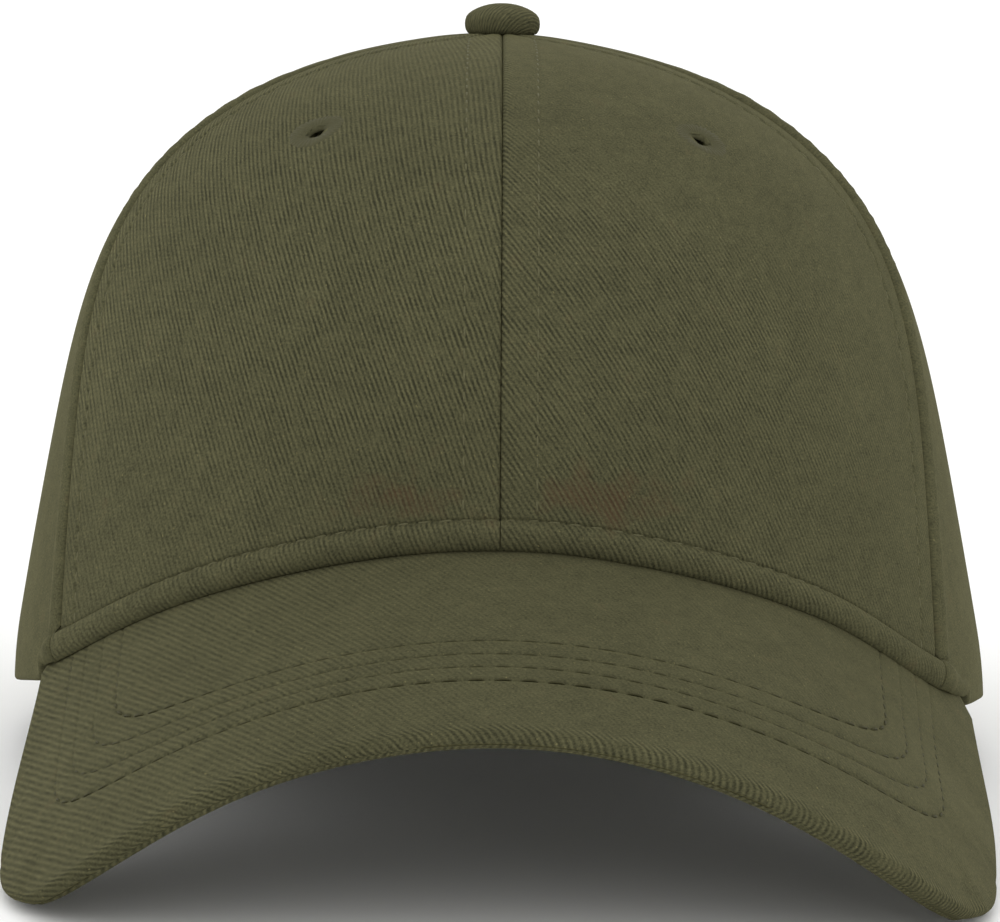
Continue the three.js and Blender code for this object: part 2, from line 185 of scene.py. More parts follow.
@dataclass(frozen=True)
class CrownForm:
    """The outer face of the crown: a rounded dome on a full oval plan, pulled in a little between its seams.

    u runs round the crown, one panel for each unit: 0 at the front seam, 3 at the back seam on the right and
    6 at the front seam again. z is the height above the rim plane.
    """

    half_width: float = 86.0
    front: float = 103.0
    back: float = 102.0
    height: float = 117.0
    plan_power: float = 2.2
    width_taper: float = 0.164
    length_taper: float = 0.05
    height_power: float = 6.47
    reach_power: float = 0.623
    lean: float = -0.018
    wall: float = 1.6
    panel_angle: float = 60.0
    rim_flatness: float = 0.02
    dome_flatness: float = 0.1
    dome_start: float = 0.45
    seam_rim_angle: float = 57.3
    seam_top_angle: float = 60.0
    seam_bow: float = 10.7
    right_turn: float = 0.7
    middle_lean: float = 0.0083
    middle_start: float = 33.0
    foot_tuck: float = 0.013
    foot_height: float = 14.0
    small_step: float = 0.01

    def dome_share(self, z: Array) -> Array:
        """How far up the dome a height lies: 1 - sqrt(1 - z / height), 0 at the rim and 1 at the top."""
        return 1 - np.sqrt(np.maximum(1 - z / self.height, 0.0))

    def dome_height(self, share: Array) -> Array:
        """The height at a share up the dome: height * (1 - (1 - share)^2)."""
        return self.height * (1 - (1 - share) ** 2)

    def seam_angle(self, number: Array, z: Array) -> Array:
        """The angle of a seam from the front, in degrees; the back seams mirror the front ones.

        Args:
            number: 0 for the front centre seam to 3 for the back centre seam.
            z: The height.

        Returns:
            The angle: straight from rim to top, plus a bow that is a half sine of the dome share.
        """
        share = self.dome_share(z)
        side = mix(self.seam_rim_angle, self.seam_top_angle, share) + self.seam_bow * np.sin(np.pi * share)
        return np.choose(number, [0 * side, side, 180 - side, 180 + 0 * side])

    def angle(self, u: Array, z: Array) -> Array:
        """The angle from the front, straight between the two seams of the panel.

        On the right it is less by a tent of right_turn over the side seam.

        Args:
            u: The place round the crown.
            z: The height.

        Returns:
            The angle in radians.
        """
        u, z = np.broadcast_arrays(np.asarray(u, float), np.asarray(z, float))
        half = np.where(u > 3, 6 - u, u)
        panel = np.clip(np.floor(half), 0, 2).astype(int)
        turned = mix(self.seam_angle(panel, z), self.seam_angle(panel + 1, z), half - panel)
        skew = self.right_turn * np.maximum(1 - np.abs(half - 1), 0)
        return np.where(u > 3, 360 - turned, turned - skew) * TURN

    def fullness(self, angle: Array) -> Array:
        """How much fuller than an ellipse the plan is: (|sin|^p + |cos|^p)^(-1/p)."""
        power = self.plan_power
        return (np.abs(np.sin(angle)) ** power + np.abs(np.cos(angle)) ** power) ** (-1 / power)

    def point(self, u: Array, z: Array) -> Array:
        """A point of the outer face.

        The reach falls off as (1 - (z / height)^a)^b, the half axes taper with height, and the plan is drawn
        towards the chord between its seams by the flatness. The sides tuck in towards their foot, and the
        middle of the front and back leans over by itself as cos^2 of the angle.

        Args:
            u: The place round the crown.
            z: The height.

        Returns:
            Points in millimetres, last axis x, y, z.
        """
        u, z = np.broadcast_arrays(np.asarray(u, float), np.asarray(z, float))
        angle = self.angle(u, z)
        dome = np.maximum(1 - (np.maximum(z, 0) / self.height) ** self.height_power, 0) ** self.reach_power
        fall = dome * self.fullness(angle)
        side = (self.half_width - self.width_taper * z) * fall
        side = side * (1 - self.foot_tuck * np.maximum(1 - z / self.foot_height, 0) ** 2)
        length = np.where(np.cos(angle) > 0, self.front, self.back) - self.length_taper * z
        middle = self.middle_lean * np.maximum(z - self.middle_start, 0) * np.cos(angle) ** 2
        flat = mix(self.rim_flatness, self.dome_flatness, smooth(self.dome_share(z) / self.dome_start))
        half_panel = self.panel_angle / 2 * TURN
        from_middle = (u - np.floor(u) - 0.5) * self.panel_angle * TURN
        pull = 1 - flat * (1 - math.cos(half_panel) / np.cos(from_middle))
        return np.stack([
            side * pull * np.sin(angle) + self.lean * z + middle,
            -length * fall * pull * np.cos(angle),
            z,
        ], -1)

    def normal(self, u: Array, z: Array) -> Array:
        """The outward normal, from small steps across and up the face.

        One unit of u is tens of millimetres, so its small step is a tenth of the one in z.

        Args:
            u: The place round the crown.
            z: The height.

        Returns:
            Normals of unit length.
        """
        low = np.clip(z, 0.0, self.height - 2 * self.small_step)
        here = self.point(u, low)
        across = self.point(u + self.small_step / 10, low) - here
        up = self.point(u, low + self.small_step) - here
        return unit(np.cross(across, up))

    def inside(self, u: Array, z: Array, depth: Array) -> Array:
        """A point a depth below the outer face; a negative depth stands proud of it."""
        return self.point(u, z) - self.normal(u, z) * np.asarray(depth)[..., None]


@dataclass(frozen=True)
class PeakForm:
    """The peak: a flat plate bent about its fore-and-aft line and sloped down to the front.

    width and length are measured on the flat plate, from its middle line and from the join forward.
    """

    slope: float = 18.57
    radius: float = 89.4
    easing: float = 0.092
    easing_width: float = 90.0
    join_height: float = 32.8
    join_y: float = -101.35
    length: float = 70.0
    half_width: float = 96.3
    tip_at: float = 24.5
    corner_width: float = 91.65
    corner_at: float = -41.0
    front_pull: float = 56.5
    tip_pull: float = 68.7
    side_pull: float = 20.0
    side_bow: float = 1.0
    thickness: float = 4.4
    join_thickness: float = 3.2
    tuck: float = 3.0
    tuck_back: float = 1.0
    left_lift: float = 0.5
    left_lift_at: float = -62.0
    left_lift_reach: float = 20.0
    right_sag: float = 0.5
    right_sag_span: float = 25.0
    corner_sag: float = 1.8
    corner_sag_start: float = 55.0
    corner_sag_span: float = 30.0
    sag_end: float = 22.0
    sag_fade: float = 30.0
    sag_rounds: int = 4
    right_fullness: float = 4.0
    table_width: float = 130.0
    table_steps: int = 2601

    def bend(self, width: Array) -> Array:
        """How far the plate has turned down: width / radius, easing off with the square of the width."""
        return width / self.radius * (1 - self.easing * (width / self.easing_width) ** 2)

    def section(self, width: Array) -> tuple[Array, Array, Array]:
        """The bent section: its angle, and its reach and drop as the sums of cos and sin of the bend.

        Args:
            width: The width on the plate, of either sign.

        Returns:
            The angle, the reach to the side and the drop, all for the width's size.
        """
        steps = np.linspace(0, self.table_width, self.table_steps)
        bends = self.bend((steps[1:] + steps[:-1]) / 2)
        reach = np.concatenate([[0], np.cumsum(np.cos(bends) * np.diff(steps))])
        drop = np.concatenate([[0], np.cumsum(np.sin(bends) * np.diff(steps))])
        size = np.abs(width)
        return self.bend(size), np.interp(size, steps, reach), np.interp(size, steps, drop)

    def sag(self, width: Array, length: Array) -> Array:
        """How far the plate lies below its plain bend beside the join.

        Its left side is sewn in a little high, as a bell of the width, and its right side low, the more so
        towards the corner. Both fade out ahead of the join.

        Args:
            width: The width on the plate.
            length: The length forward of the join.

        Returns:
            The distance below the plain bend.
        """
        left = -self.left_lift * bell(width - self.left_lift_at, self.left_lift_reach)
        corner = smooth((width - self.corner_sag_start) / self.corner_sag_span)
        right = self.right_sag * smooth(width / self.right_sag_span) + self.corner_sag * corner
        return (left + right) * smooth((self.sag_end - length) / self.sag_fade)

    def point(self, width: Array, length: Array, depth: Array) -> Array:
        """A point of the plate, a depth below its top face.

        Args:
            width: The width on the plate.
            length: The length forward of the join.
            depth: The depth below the top face.

        Returns:
            Points in millimetres, last axis x, y, z.
        """
        angle, reach, drop = self.section(width)
        cos, sin = math.cos(self.slope * TURN), math.sin(self.slope * TURN)
        fall = drop + depth * np.cos(angle) + self.sag(width, length)
        return np.stack([
            np.sign(width) * (reach - depth * np.sin(angle)),
            self.join_y - length * cos + fall * sin,
            self.join_height - length * sin - fall * cos,
        ], -1)

    def under(self, x: Array, y: Array) -> tuple[Array, Array, Array, Array]:
        """The place on the top face above or below a plan point, found by stepping the width to its reach.

        Args:
            x: The plan point's x.
            y: The plan point's y.

        Returns:
            The width, the length, the height of the face and the rise of its normal.
        """
        width = np.abs(x)
        for _ in range(SOLVE_ROUNDS):
            angle, reach, drop = self.section(width)
            width = width + (np.abs(x) - reach) / np.cos(angle)
        angle, reach, drop = self.section(width)
        cos, sin = math.cos(self.slope * TURN), math.sin(self.slope * TURN)
        signed, fall = np.sign(x) * width, drop
        for _ in range(self.sag_rounds):
            length = (self.join_y - y + fall * sin) / cos
            fall = drop + self.sag(signed, length)
        z = self.join_height - length * sin - fall * cos
        return signed, length, z, np.cos(angle) * cos

    def outline(self, share: Array) -> Array:
        """The outline of one half, evenly along two cubic Bezier curves: front to tip, and tip to corner.

        Args:
            share: 0 at the middle of the front to 1 at the corner.

        Returns:
            Width and length of the outline, last axis.
        """
        curves = (
            ((0, self.length), (self.front_pull, self.length), (self.half_width, self.tip_pull),
             (self.half_width, self.tip_at)),
            ((self.half_width, self.tip_at), (self.half_width, self.tip_at - self.side_pull),
             (self.corner_width + self.side_bow, self.corner_at + self.side_pull),
             (self.corner_width, self.corner_at)),
        )
        t = np.linspace(0, 1, CURVE_STEPS)[:, None]
        runs = []
        for a, b, c, d in (np.array(curve, float) for curve in curves):
            runs.append((1 - t) ** 3 * a + 3 * (1 - t) ** 2 * t * b + 3 * (1 - t) * t ** 2 * c + t ** 3 * d)
        path = np.concatenate([runs[0], runs[1][1:]])
        along = lengths_along(path)
        at = share * along[-1]
        return np.stack([np.interp(at, along, path[:, 0]), np.interp(at, along, path[:, 1])], -1)


@dataclass(frozen=True)
class RimForm:
    """The edge of the crown: it rides on the peak as far as the corner and eases down to level behind it."""

    crown: CrownForm
    peak: PeakForm
    left_corner: float = 62.0
    right_corner: float = 66.0
    corner_span: float = 2.2
    left_hang: float = 6.0
    right_hang: float = 4.6
    right_drop: float = 1.0
    drop_span: float = 8.0
    level_angle: float = 112.0
    join_gap: float = 0.1
    hang_power: float = 1.4

    def join_height(self, u: Array, depth: Array) -> Array:
        """The height at which a face of the crown meets the peak, found by halving the miss.

        Args:
            u: The place round the crown.
            depth: How far inside the outer face.

        Returns:
            Heights in millimetres.
        """
        z = np.full(np.shape(u), self.peak.join_height / 2)
        depth = np.broadcast_to(depth, z.shape)
        for _ in range(SOLVE_ROUNDS):
            point = self.crown.inside(u, z, depth)
            _, _, under, rise = self.peak.under(point[..., 0], point[..., 1])
            z = z + (under + self.join_gap / rise - point[..., 2]) / 2
        return z

    def position(self, angle: Array) -> Array:
        """Finds the place round the right half of the rim at an angle.

        Args:
            angle: The angle from the front, in degrees.

        Returns:
            The place u.
        """
        edge = self.crown.seam_rim_angle
        panel = np.where(angle < edge, 0, np.where(angle < 180 - edge, 1, 2))
        low = np.choose(panel, [0.0, edge, 180 - edge])
        high = np.choose(panel, [edge, 180 - edge, 180.0])
        return panel + (angle - low) / (high - low)

    def corners(self) -> Array:
        """The u of the right and the left corner of the peak."""
        right, left = self.position(np.array([self.right_corner, self.left_corner]))
        return np.array([right, 6 - left])

    def height(self, u: Array, depth: Array) -> Array:
        """The height of the rim: the join in front, and behind its corner hang * (1 - share)^power down to 0.

        On the right the edge also hangs down just behind the corner, as a bell of the angle.

        Args:
            u: The place round the crown.
            depth: How far inside the outer face.

        Returns:
            Heights in millimetres.
        """
        u = np.asarray(u, float)
        turned = self.crown.angle(u, 0.0) / TURN
        angle = np.minimum(turned, 360 - turned)
        is_left = u > 3
        corner = np.where(is_left, self.left_corner, self.right_corner)
        hang = np.where(is_left, self.left_hang, self.right_hang)
        drop = np.where(is_left, 0.0, self.right_drop) * bell(angle - corner, self.drop_span)
        ends = self.join_height(self.corners(), 0.0)
        share = np.clip((angle - corner) / (self.level_angle - corner), 0, 1)
        dropped = smooth((angle - corner) / self.corner_span)
        hung = np.maximum(hang * (1 - share) ** self.hang_power - drop, 0)
        behind = mix(np.where(is_left, ends[1], ends[0]), hung, dropped)
        return np.where(angle <= corner, self.join_height(u, depth), behind)


CROWN = CrownForm()
PEAK = PeakForm()
RIM = RimForm(CROWN, PEAK)
REST = Rest()


# Meshes


def walled_sheet(
    outer: Array, inner: Array, keep: Array | None = None,
) -> Pair:
    """Closes two grids of the same size into a cloth wall, with an edge wall wherever a quad is missing.

    Args:
        outer: The outward grid, (columns, rows, 3).
        inner: The inward grid.
        keep: Which quads are there, (columns - 1, rows - 1); all of them if it is left out.

    Returns:
        The points, outer grid first, and the quads as point numbers.
    """
    columns, rows = outer.shape[:2]
    keep = np.ones((columns - 1, rows - 1), bool) if keep is None else keep
    top = np.arange(columns * rows).reshape(columns, rows)
    low = top + columns * rows

    def quads(grid: Array) -> Array:
        """The four corners of each quad of a grid."""
        return np.stack([grid[:-1, :-1], grid[1:, :-1], grid[1:, 1:], grid[:-1, 1:]], -1)

    padded = np.pad(keep, 1)
    left, right = padded[:-1, 1:-1], padded[1:, 1:-1]
    below, above = padded[1:-1, :-1], padded[1:-1, 1:]
    upright = np.stack([top[:, :-1], top[:, 1:], low[:, 1:], low[:, :-1]], -1)
    level = np.stack([low[:-1], low[1:], top[1:], top[:-1]], -1)
    faces = np.concatenate([
        quads(top)[keep], quads(low)[keep][:, ::-1],
        upright[right & ~left], upright[left & ~right][:, ::-1],
        level[above & ~below], level[below & ~above][:, ::-1],
    ])
    return np.concatenate([outer.reshape(-1, 3), inner.reshape(-1, 3)]), faces


def make_piece(
    name: str,
    points: Array,
    faces: Array | list,
    material: Material,
    nodes: tuple[str, ...] = (),
    cloth: Array | None = None,
    fields: dict[str, Array] | None = None,
) -> bpy.types.Object:
    """Makes one piece of the cap and ties it to the frame.

    Args:
        name: The piece's name.
        points: Points in millimetres in the cap's frame.
        faces: Faces as point numbers.
        material: Its finish.
        nodes: The CAD nodes that it stands for.
        cloth: Where each point lies on the flat cloth, in millimetres, kept in metres as a UV map.
        fields: Further values for each point, kept as attributes.

    Returns:
        The new object.
    """
    mesh = bpy.data.meshes.new(name)
    rows = faces.tolist() if isinstance(faces, Array) else faces
    mesh.from_pydata(REST.placed(points).tolist(), [], rows)
    mesh.polygons.foreach_set("use_smooth", np.ones(len(rows), bool))
    if cloth is not None:
        corners = np.empty(len(mesh.loops), np.int32)
        mesh.loops.foreach_get("vertex_index", corners)
        layer = mesh.uv_layers.new(name=CLOTH_MAP)
        layer.uv.foreach_set("vector", (cloth[corners] * MM).astype(np.float32).ravel())
    for key, values in (fields or {}).items():
        attribute = mesh.attributes.new(key, "FLOAT", "POINT")
        attribute.data.foreach_set("value", values.astype(np.float32).ravel())
    mesh.materials.append(material)
    mesh.update()
    piece = bpy.data.objects.new(name, mesh)
    bpy.context.scene.collection.objects.link(piece)
    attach(piece, "root")
    if nodes:
        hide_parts(*nodes)
    LOG.info("%s: %d points, %d faces", name, len(mesh.vertices), len(mesh.polygons))
    return piece


@dataclass(frozen=True)
class Stitching:
    """A row of lockstitches: each is a short thread that lies on the cloth and dives into it at both ends.

    Each end of a stitch is closed by two quads, which its six sides allow.
    """

    pitch: float = 3.5
    dash: float = 2.5
    thread: float = 0.22
    proud: float = 0.02
    dive: float = 0.5
    slant: float = 3.0
    end_taper: float = 0.94
    flatness: float = 0.8
    look_ahead: float = 0.3
    rings: int = 7
    sides: int = 6

    def row(self, path: Array, normals: Array) -> Pair:
        """Lays stitches along a path.

        A stitch is a tube with an oval section. Its middle line stands proud of the cloth by p and sinks at
        both ends as p - (p + dive) * s^4, where s goes from 0 in the middle to 1 at the end, and its section
        narrows there as sqrt(1 - end_taper * s^4).

        Args:
            path: Points on the cloth, (n, 3), close together.
            normals: The cloth's outward normals there.

        Returns:
            The points of all stitches and their quads.
        """
        along = lengths_along(path)
        count = max(int(along[-1] / self.pitch), 1)
        pitch = along[-1] / count
        spot = np.linspace(-1, 1, self.rings)
        at = (np.arange(count) + 0.5)[:, None] * pitch + spot * self.dash / 2

        def read(values: Array, where: Array) -> Array:
            """Reads three columns of values at distances along the path."""
            return np.stack([np.interp(where, along, values[:, k]) for k in range(3)], -1)

        centre, normal = read(path, at), unit(read(normals, at))
        ahead = unit(read(path, at + self.look_ahead) - read(path, at - self.look_ahead))
        side = unit(np.cross(normal, ahead))
        lift = self.proud - (self.proud + self.dive) * spot ** 4
        centre = centre + normal * lift[:, None]
        centre = centre + side * (spot * self.dash / 2 * math.tan(self.slant * TURN))[:, None]
        thick = self.thread * np.sqrt(np.maximum(1 - self.end_taper * spot ** 4, 0))[:, None]
        turn = np.arange(self.sides) / self.sides * 2 * np.pi
        over, out = side[:, :, None] * np.cos(turn)[:, None], normal[:, :, None] * np.sin(turn)[:, None]
        ring = over + self.flatness * out
        points = centre[:, :, None] + ring * thick[None, :, :, None]
        ids = np.arange(self.rings * self.sides).reshape(self.rings, self.sides)
        after = np.roll(ids, -1, axis=1)
        quads = np.stack([ids[:-1], after[:-1], after[1:], ids[1:]], -1).reshape(-1, 4)
        first = np.stack([ids[0, [0, 5, 4, 3]], ids[0, [0, 3, 2, 1]]])
        last = np.stack([ids[-1, [0, 1, 2, 3]], ids[-1, [0, 3, 4, 5]]])
        base = np.concatenate([quads, first, last])
        faces = base[None] + (np.arange(count) * ids.size)[:, None, None]
        return points.reshape(-1, 3), faces.reshape(-1, 4)

    def rows(self, paths: list[Pair]) -> Pair:
        """Lays stitches along several paths and joins them into one mesh.

        Args:
            paths: Pairs of points and normals.

        Returns:
            The points and quads of all rows.
        """
        points, faces, start = [], [], 0
        for path, normals in paths:
            row_points, row_faces = self.row(path, normals)
            points.append(row_points)
            faces.append(row_faces + start)
            start += len(row_points)
        return np.concatenate(points), np.concatenate(faces)


# Finishes


def new_material(name: str) -> Material:
    """Makes a material with an empty node tree.

    Args:
        name: Its name.

    Returns:
        The material.
    """
    material = bpy.data.materials.new(name)
    material.use_nodes = True
    material.node_tree.nodes.clear()
    return material


@dataclass(frozen=True)
class TwillFinish:
    """Brushed cotton twill, piece dyed: steep ribs of floats, softened by a short nap with stray fibres.

    The ribs read as fine slanting lines, lighter on their crests; where the nap is fuller they fade into a
    matt speckle. Brushed cotton is dull: its fibre ends scatter the light and it has hardly any gloss. All
    sizes are in millimetres. Stray fibres are drawn about three times as thick as real ones, to show.
    """

    name: str
    crest: str = "5e5c42"
    valley: str = "323224"
    stain: str = "4c3426"
    fibre: str = "7a7450"
    rib_pitch: float = 0.78
    rib_angle: float = 63.0
    rib_depth: float = 0.16
    rib_share: float = 0.7
    rib_middle: float = 0.45
    rib_wander: float = 0.42
    wander_size: float = 1.6
    float_length: float = 1.1
    float_share: float = 0.25
    streak_size: float = 1.3
    streak_stretch: float = 0.3
    streak_gain: float = 3.6
    streak_start: float = -0.8
    streak_least: float = 0.1
    fuzz_grain: float = 0.34
    fuzz_share: float = 1.35
    fuzz_depth: float = 0.5
    tuft_size: float = 1.5
    tuft_share: float = 0.45
    patch_size: float = 5.0
    patch_share: float = 0.35
    mottle_size: float = 26.0
    mottle_low: float = 0.3
    mottle_share: float = 0.07
    stain_edge: float = 0.3
    stain_raggedness: float = 2.0
    stain_share: float = 0.5
    stain_dry_ribs: float = 0.6
    fleck_size: float = 0.42
    fleck_stretch: float = 0.45
    fleck_start: float = 0.7
    fleck_full: float = 0.8
    fleck_share: float = 0.6
    noise_roughness: float = 0.55
    bump_strength: float = 0.8
    roughness: float = 0.95
    ior: float = 1.5
    gloss: float = 0.04
    sheen: float = 0.12
    sheen_roughness: float = 0.3
    sheen_colour: str = "a79f62"

    def material(self) -> Material:
        """Builds the material.

        Returns:
            The new material.
        """
        material = new_material(self.name)
        tree = material.node_tree

        def calc(kind: str, first: Feed, second: Feed = 0.0, third: Feed = 0.0) -> Socket:
            """One arithmetic step."""
            return add_node(tree, "Math", {0: first, 1: second, 2: third}, operation=kind).outputs[0]

        def noise(vector: Socket, size: float, detail: float = 2.0) -> Socket:
            """Noise whose grains are about size across."""
            inputs = {"Vector": vector, "Scale": 1 / (size * MM), "Detail": detail}
            return add_node(tree, "TexNoise", inputs | {"Roughness": self.noise_roughness}).outputs[0]

        def along_ribs(stretch: float) -> Socket:
            """The cloth map turned with the ribs and drawn out along them."""
            return add_node(tree, "Mapping", {"Vector": turned, "Scale": (MM, MM * stretch, MM)}).outputs[0]

        def wave(phase: Socket) -> Socket:
            """A sine from 0 to 1, once for each unit of phase."""
            return calc("MULTIPLY_ADD", calc("SINE", calc("MULTIPLY", phase, 2 * math.pi)), 0.5, 0.5)

        def blend(share: Feed, first: Feed, second: Feed, kind: str = "MIX") -> Socket:
            """Goes from one colour to another."""
            inputs = {0: share, 6: first, 7: second}
            return add_node(tree, "Mix", inputs, data_type="RGBA", blend_type=kind).outputs[2]

        cloth = add_node(tree, "UVMap", uv_map=CLOTH_MAP).outputs[0]
        # Turned so that x runs across the ribs and y along them.
        turned = add_node(tree, "Mapping", {
            "Vector": cloth, "Rotation": (0, 0, -(90 - self.rib_angle) * TURN), "Scale": (1 / MM,) * 3,
        }).outputs[0]
        axes = add_node(tree, "SeparateXYZ", {0: turned}).outputs
        streaks = along_ribs(self.streak_stretch)
        sway = self.rib_wander
        wander = calc("MULTIPLY_ADD", noise(streaks, self.wander_size, 1.0), sway, -sway / 2)
        across = calc("ADD", calc("DIVIDE", axes[0], self.rib_pitch), wander)
        # The floats of one rib start half a length after those of its neighbour.
        step = calc("MULTIPLY_ADD", across, 0.5, calc("DIVIDE", axes[1], self.float_length))
        float_rise = calc("MULTIPLY_ADD", wave(step), self.float_share, 1 - self.float_share)
        rib = calc("MULTIPLY", wave(across), float_rise)
        sizes = (self.fuzz_grain, self.tuft_size, self.patch_size)
        fuzz, tufts, patch = (noise(cloth, size) for size in sizes)
        nap = add_node(tree, "Attribute", attribute_name=NAP_FIELD).outputs["Fac"]
        # The nap covers some floats and bares others, in streaks that follow the ribs.
        bare = calc("MULTIPLY_ADD", noise(streaks, self.streak_size), self.streak_gain, self.streak_start)
        shown = calc("MULTIPLY", nap, calc("MAXIMUM", bare, self.streak_least))

        # Colour: from valley to crest by the rib where it shows, and by fuzz, tufts and patches everywhere.
        by_rib = calc("SUBTRACT", rib, self.rib_middle)
        by_rib = calc("MULTIPLY", by_rib, calc("MULTIPLY", shown, self.rib_share))
        share = calc("ADD", by_rib, 0.5)
        for layer, weight in ((fuzz, self.fuzz_share), (tufts, self.tuft_share), (patch, self.patch_share)):
            share = calc("ADD", share, calc("MULTIPLY_ADD", layer, weight, -weight / 2))
        colour = blend(share, linear(self.valley), linear(self.crest))
        shade = add_node(tree, "MapRange", {
            "Value": noise(cloth, self.mottle_size, 4.0),
            "From Min": self.mottle_low, "From Max": 1 - self.mottle_low,
            "To Min": 1 - self.mottle_share, "To Max": 1 + self.mottle_share,
        }).outputs[0]
        colour = blend(1.0, colour, shade, "MULTIPLY")
        stain = add_node(tree, "Attribute", attribute_name=STAIN_FIELD).outputs["Fac"]
        frayed = calc("MULTIPLY_ADD", patch, self.stain_raggedness, -self.stain_raggedness / 2)
        ragged = add_node(tree, "MapRange", {
            "Value": calc("ADD", stain, frayed), "From Min": self.stain_edge, "From Max": 1.0,
            "To Max": self.stain_share,
        }).outputs[0]
        # It has soaked in between the ribs more than on them.
        soaked = calc("MULTIPLY", ragged, calc("MULTIPLY_ADD", rib, -self.stain_dry_ribs, 1.0))
        colour = blend(soaked, colour, linear(self.stain))
        # Stray fibres: short light flecks.
        fleck = add_node(tree, "MapRange", {
            "Value": noise(along_ribs(self.fleck_stretch), self.fleck_size, 1.0),
            "From Min": self.fleck_start, "From Max": self.fleck_full, "To Max": self.fleck_share,
        }).outputs[0]
        colour = blend(fleck, colour, linear(self.fibre))

        height = calc("ADD", calc("MULTIPLY", rib, shown), calc("MULTIPLY", fuzz, self.fuzz_depth))
        inputs = {"Height": height, "Distance": self.rib_depth * MM, "Strength": self.bump_strength}
        shader = add_node(tree, "BsdfPrincipled", {
            "Base Color": colour,
            "Normal": add_node(tree, "Bump", inputs).outputs[0],
            "Roughness": self.roughness,
            "IOR": self.ior,
            "Specular IOR Level": self.gloss,
            # The fibre ends of the nap catch the light along the edges, in the cloth's own colour.
            "Sheen Weight": self.sheen,
            "Sheen Roughness": self.sheen_roughness,
            "Sheen Tint": linear(self.sheen_colour),
        })
        add_node(tree, "OutputMaterial", {0: shader.outputs[0]})
        return material


@dataclass(frozen=True)
class ThreadFinish:
    """Spun polyester sewing thread, two plies twisted: a fine slanting shade along it and a slight lustre."""

    name: str
    light: str
    dark: str
    ply: float = 0.5
    ply_depth: float = 0.1
    noise_roughness: float = 0.6
    bump_strength: float = 0.5
    roughness: float = 0.7
    ior: float = 1.5
    gloss: float = 0.1

    def material(self) -> Material:
        """Builds the material.

        Returns:
            The new material.
        """
        material = new_material(self.name)
        tree = material.node_tree
        place = add_node(tree, "TexCoord").outputs["Object"]
        inputs = {
            "Vector": place, "Scale": 1 / (self.ply * MM), "Detail": 2.0, "Roughness": self.noise_roughness,
        }
        grain = add_node(tree, "TexNoise", inputs).outputs[0]
        inputs = {0: grain, 6: linear(self.dark), 7: linear(self.light)}
        tone = add_node(tree, "Mix", inputs, data_type="RGBA")
        inputs = {"Height": grain, "Distance": self.ply_depth * MM, "Strength": self.bump_strength}
        shader = add_node(tree, "BsdfPrincipled", {
            "Base Color": tone.outputs[2],
            "Normal": add_node(tree, "Bump", inputs).outputs[0],
            "Roughness": self.roughness,
            "IOR": self.ior,
            "Specular IOR Level": self.gloss,
        })
        add_node(tree, "OutputMaterial", {0: shader.outputs[0]})
        return material


@dataclass(frozen=True)
class FloorFinish:
    """The matt white studio table, in faint wide clouds of two whites."""

    colour: str = "f4f4f2"
    light_colour: str = "f8f8f7"
    clouds_per_metre: float = 3.0
    roughness: float = 0.9

    def material(self) -> Material:
        """Builds the material.

        Returns:
            The new material.
        """
        material = new_material("white_table")
        tree = material.node_tree
        place = add_node(tree, "TexCoord").outputs["Object"]
        grain = add_node(tree, "TexNoise", {"Vector": place, "Scale": self.clouds_per_metre}).outputs[0]
        inputs = {0: grain, 6: linear(self.colour), 7: linear(self.light_colour)}
        tone = add_node(tree, "Mix", inputs, data_type="RGBA").outputs[2]
        shader = add_node(tree, "BsdfPrincipled", {"Base Color": tone, "Roughness": self.roughness})
        add_node(tree, "OutputMaterial", {0: shader.outputs[0]})
        return material


# The lie of the cloth


@dataclass(frozen=True)
class Slant:
    """Ribs passed per millimetre along one direction: from low to high, eased over a span from a start."""

    low: float
    high: float
    start: float = 0.0
    span: float = 1.0

    def ribs(self, place: Array) -> Array:
        """The ribs passed up to a place: low * x + (high - low) * span * E, E the sum of 3s^2 - 2s^3 over s.

        Args:
            place: Distances x along the direction.

        Returns:
            Counts of ribs, from the middle.
        """
        share = (place - self.start) / self.span
        held = np.clip(share, 0, 1)
        eased = held ** 3 - held ** 4 / 2 + np.maximum(share - 1, 0)
        return self.low * place + (self.high - self.low) * self.span * eased


@dataclass(frozen=True)
class Grain:
    """How the ribs of the twill lie on a piece that was cut flat and then blocked to its shape.

    The ribs passed from the piece's middle to a place x, y are those across, those along, and twist * x * y.
    """

    across: Slant = Slant(1.142, 1.142)
    along: Slant = Slant(0.582, 0.582)
    twist: float = 0.0

    def place(self, x: Array, y: Array) -> Array:
        """Where a place lies on flat cloth whose ribs have the finish's plain pitch and angle.

        Args:
            x: Its distance across the piece.
            y: Its distance up the piece.

        Returns:
            x and y on the flat cloth, in millimetres.
        """
        ribs = self.across.ribs(x) + self.along.ribs(y) + self.twist * x * y
        angle = TwillFinish.rib_angle * TURN
        over, down = ribs * TwillFinish.rib_pitch, x * math.cos(angle) - y * math.sin(angle)
        return np.stack([over * math.sin(angle) + down * math.cos(angle),
                         over * math.cos(angle) - down * math.sin(angle)], -1)


@dataclass(frozen=True)
class Wave:
    """A slow wave in sewn cloth: height * sin(x / first + first_phase) * sin(y / second + second_phase)."""

    height: float
    first: float
    first_phase: float
    second: float
    second_phase: float

    def at(self, x: Array, y: Array) -> Array:
        """The wave's height at x, y."""
        along = np.sin(x / self.first + self.first_phase)
        return self.height * along * np.sin(y / self.second + self.second_phase)


@dataclass(frozen=True)
class Fade:
    """A loss that sets in at a start and is eased over a span to its full share."""

    start: float
    span: float
    loss: float = 1.0

    def kept(self, place: Array) -> Array:
        """The share that is kept at a place."""
        return 1 - self.loss * smooth((place - self.start) / self.span)


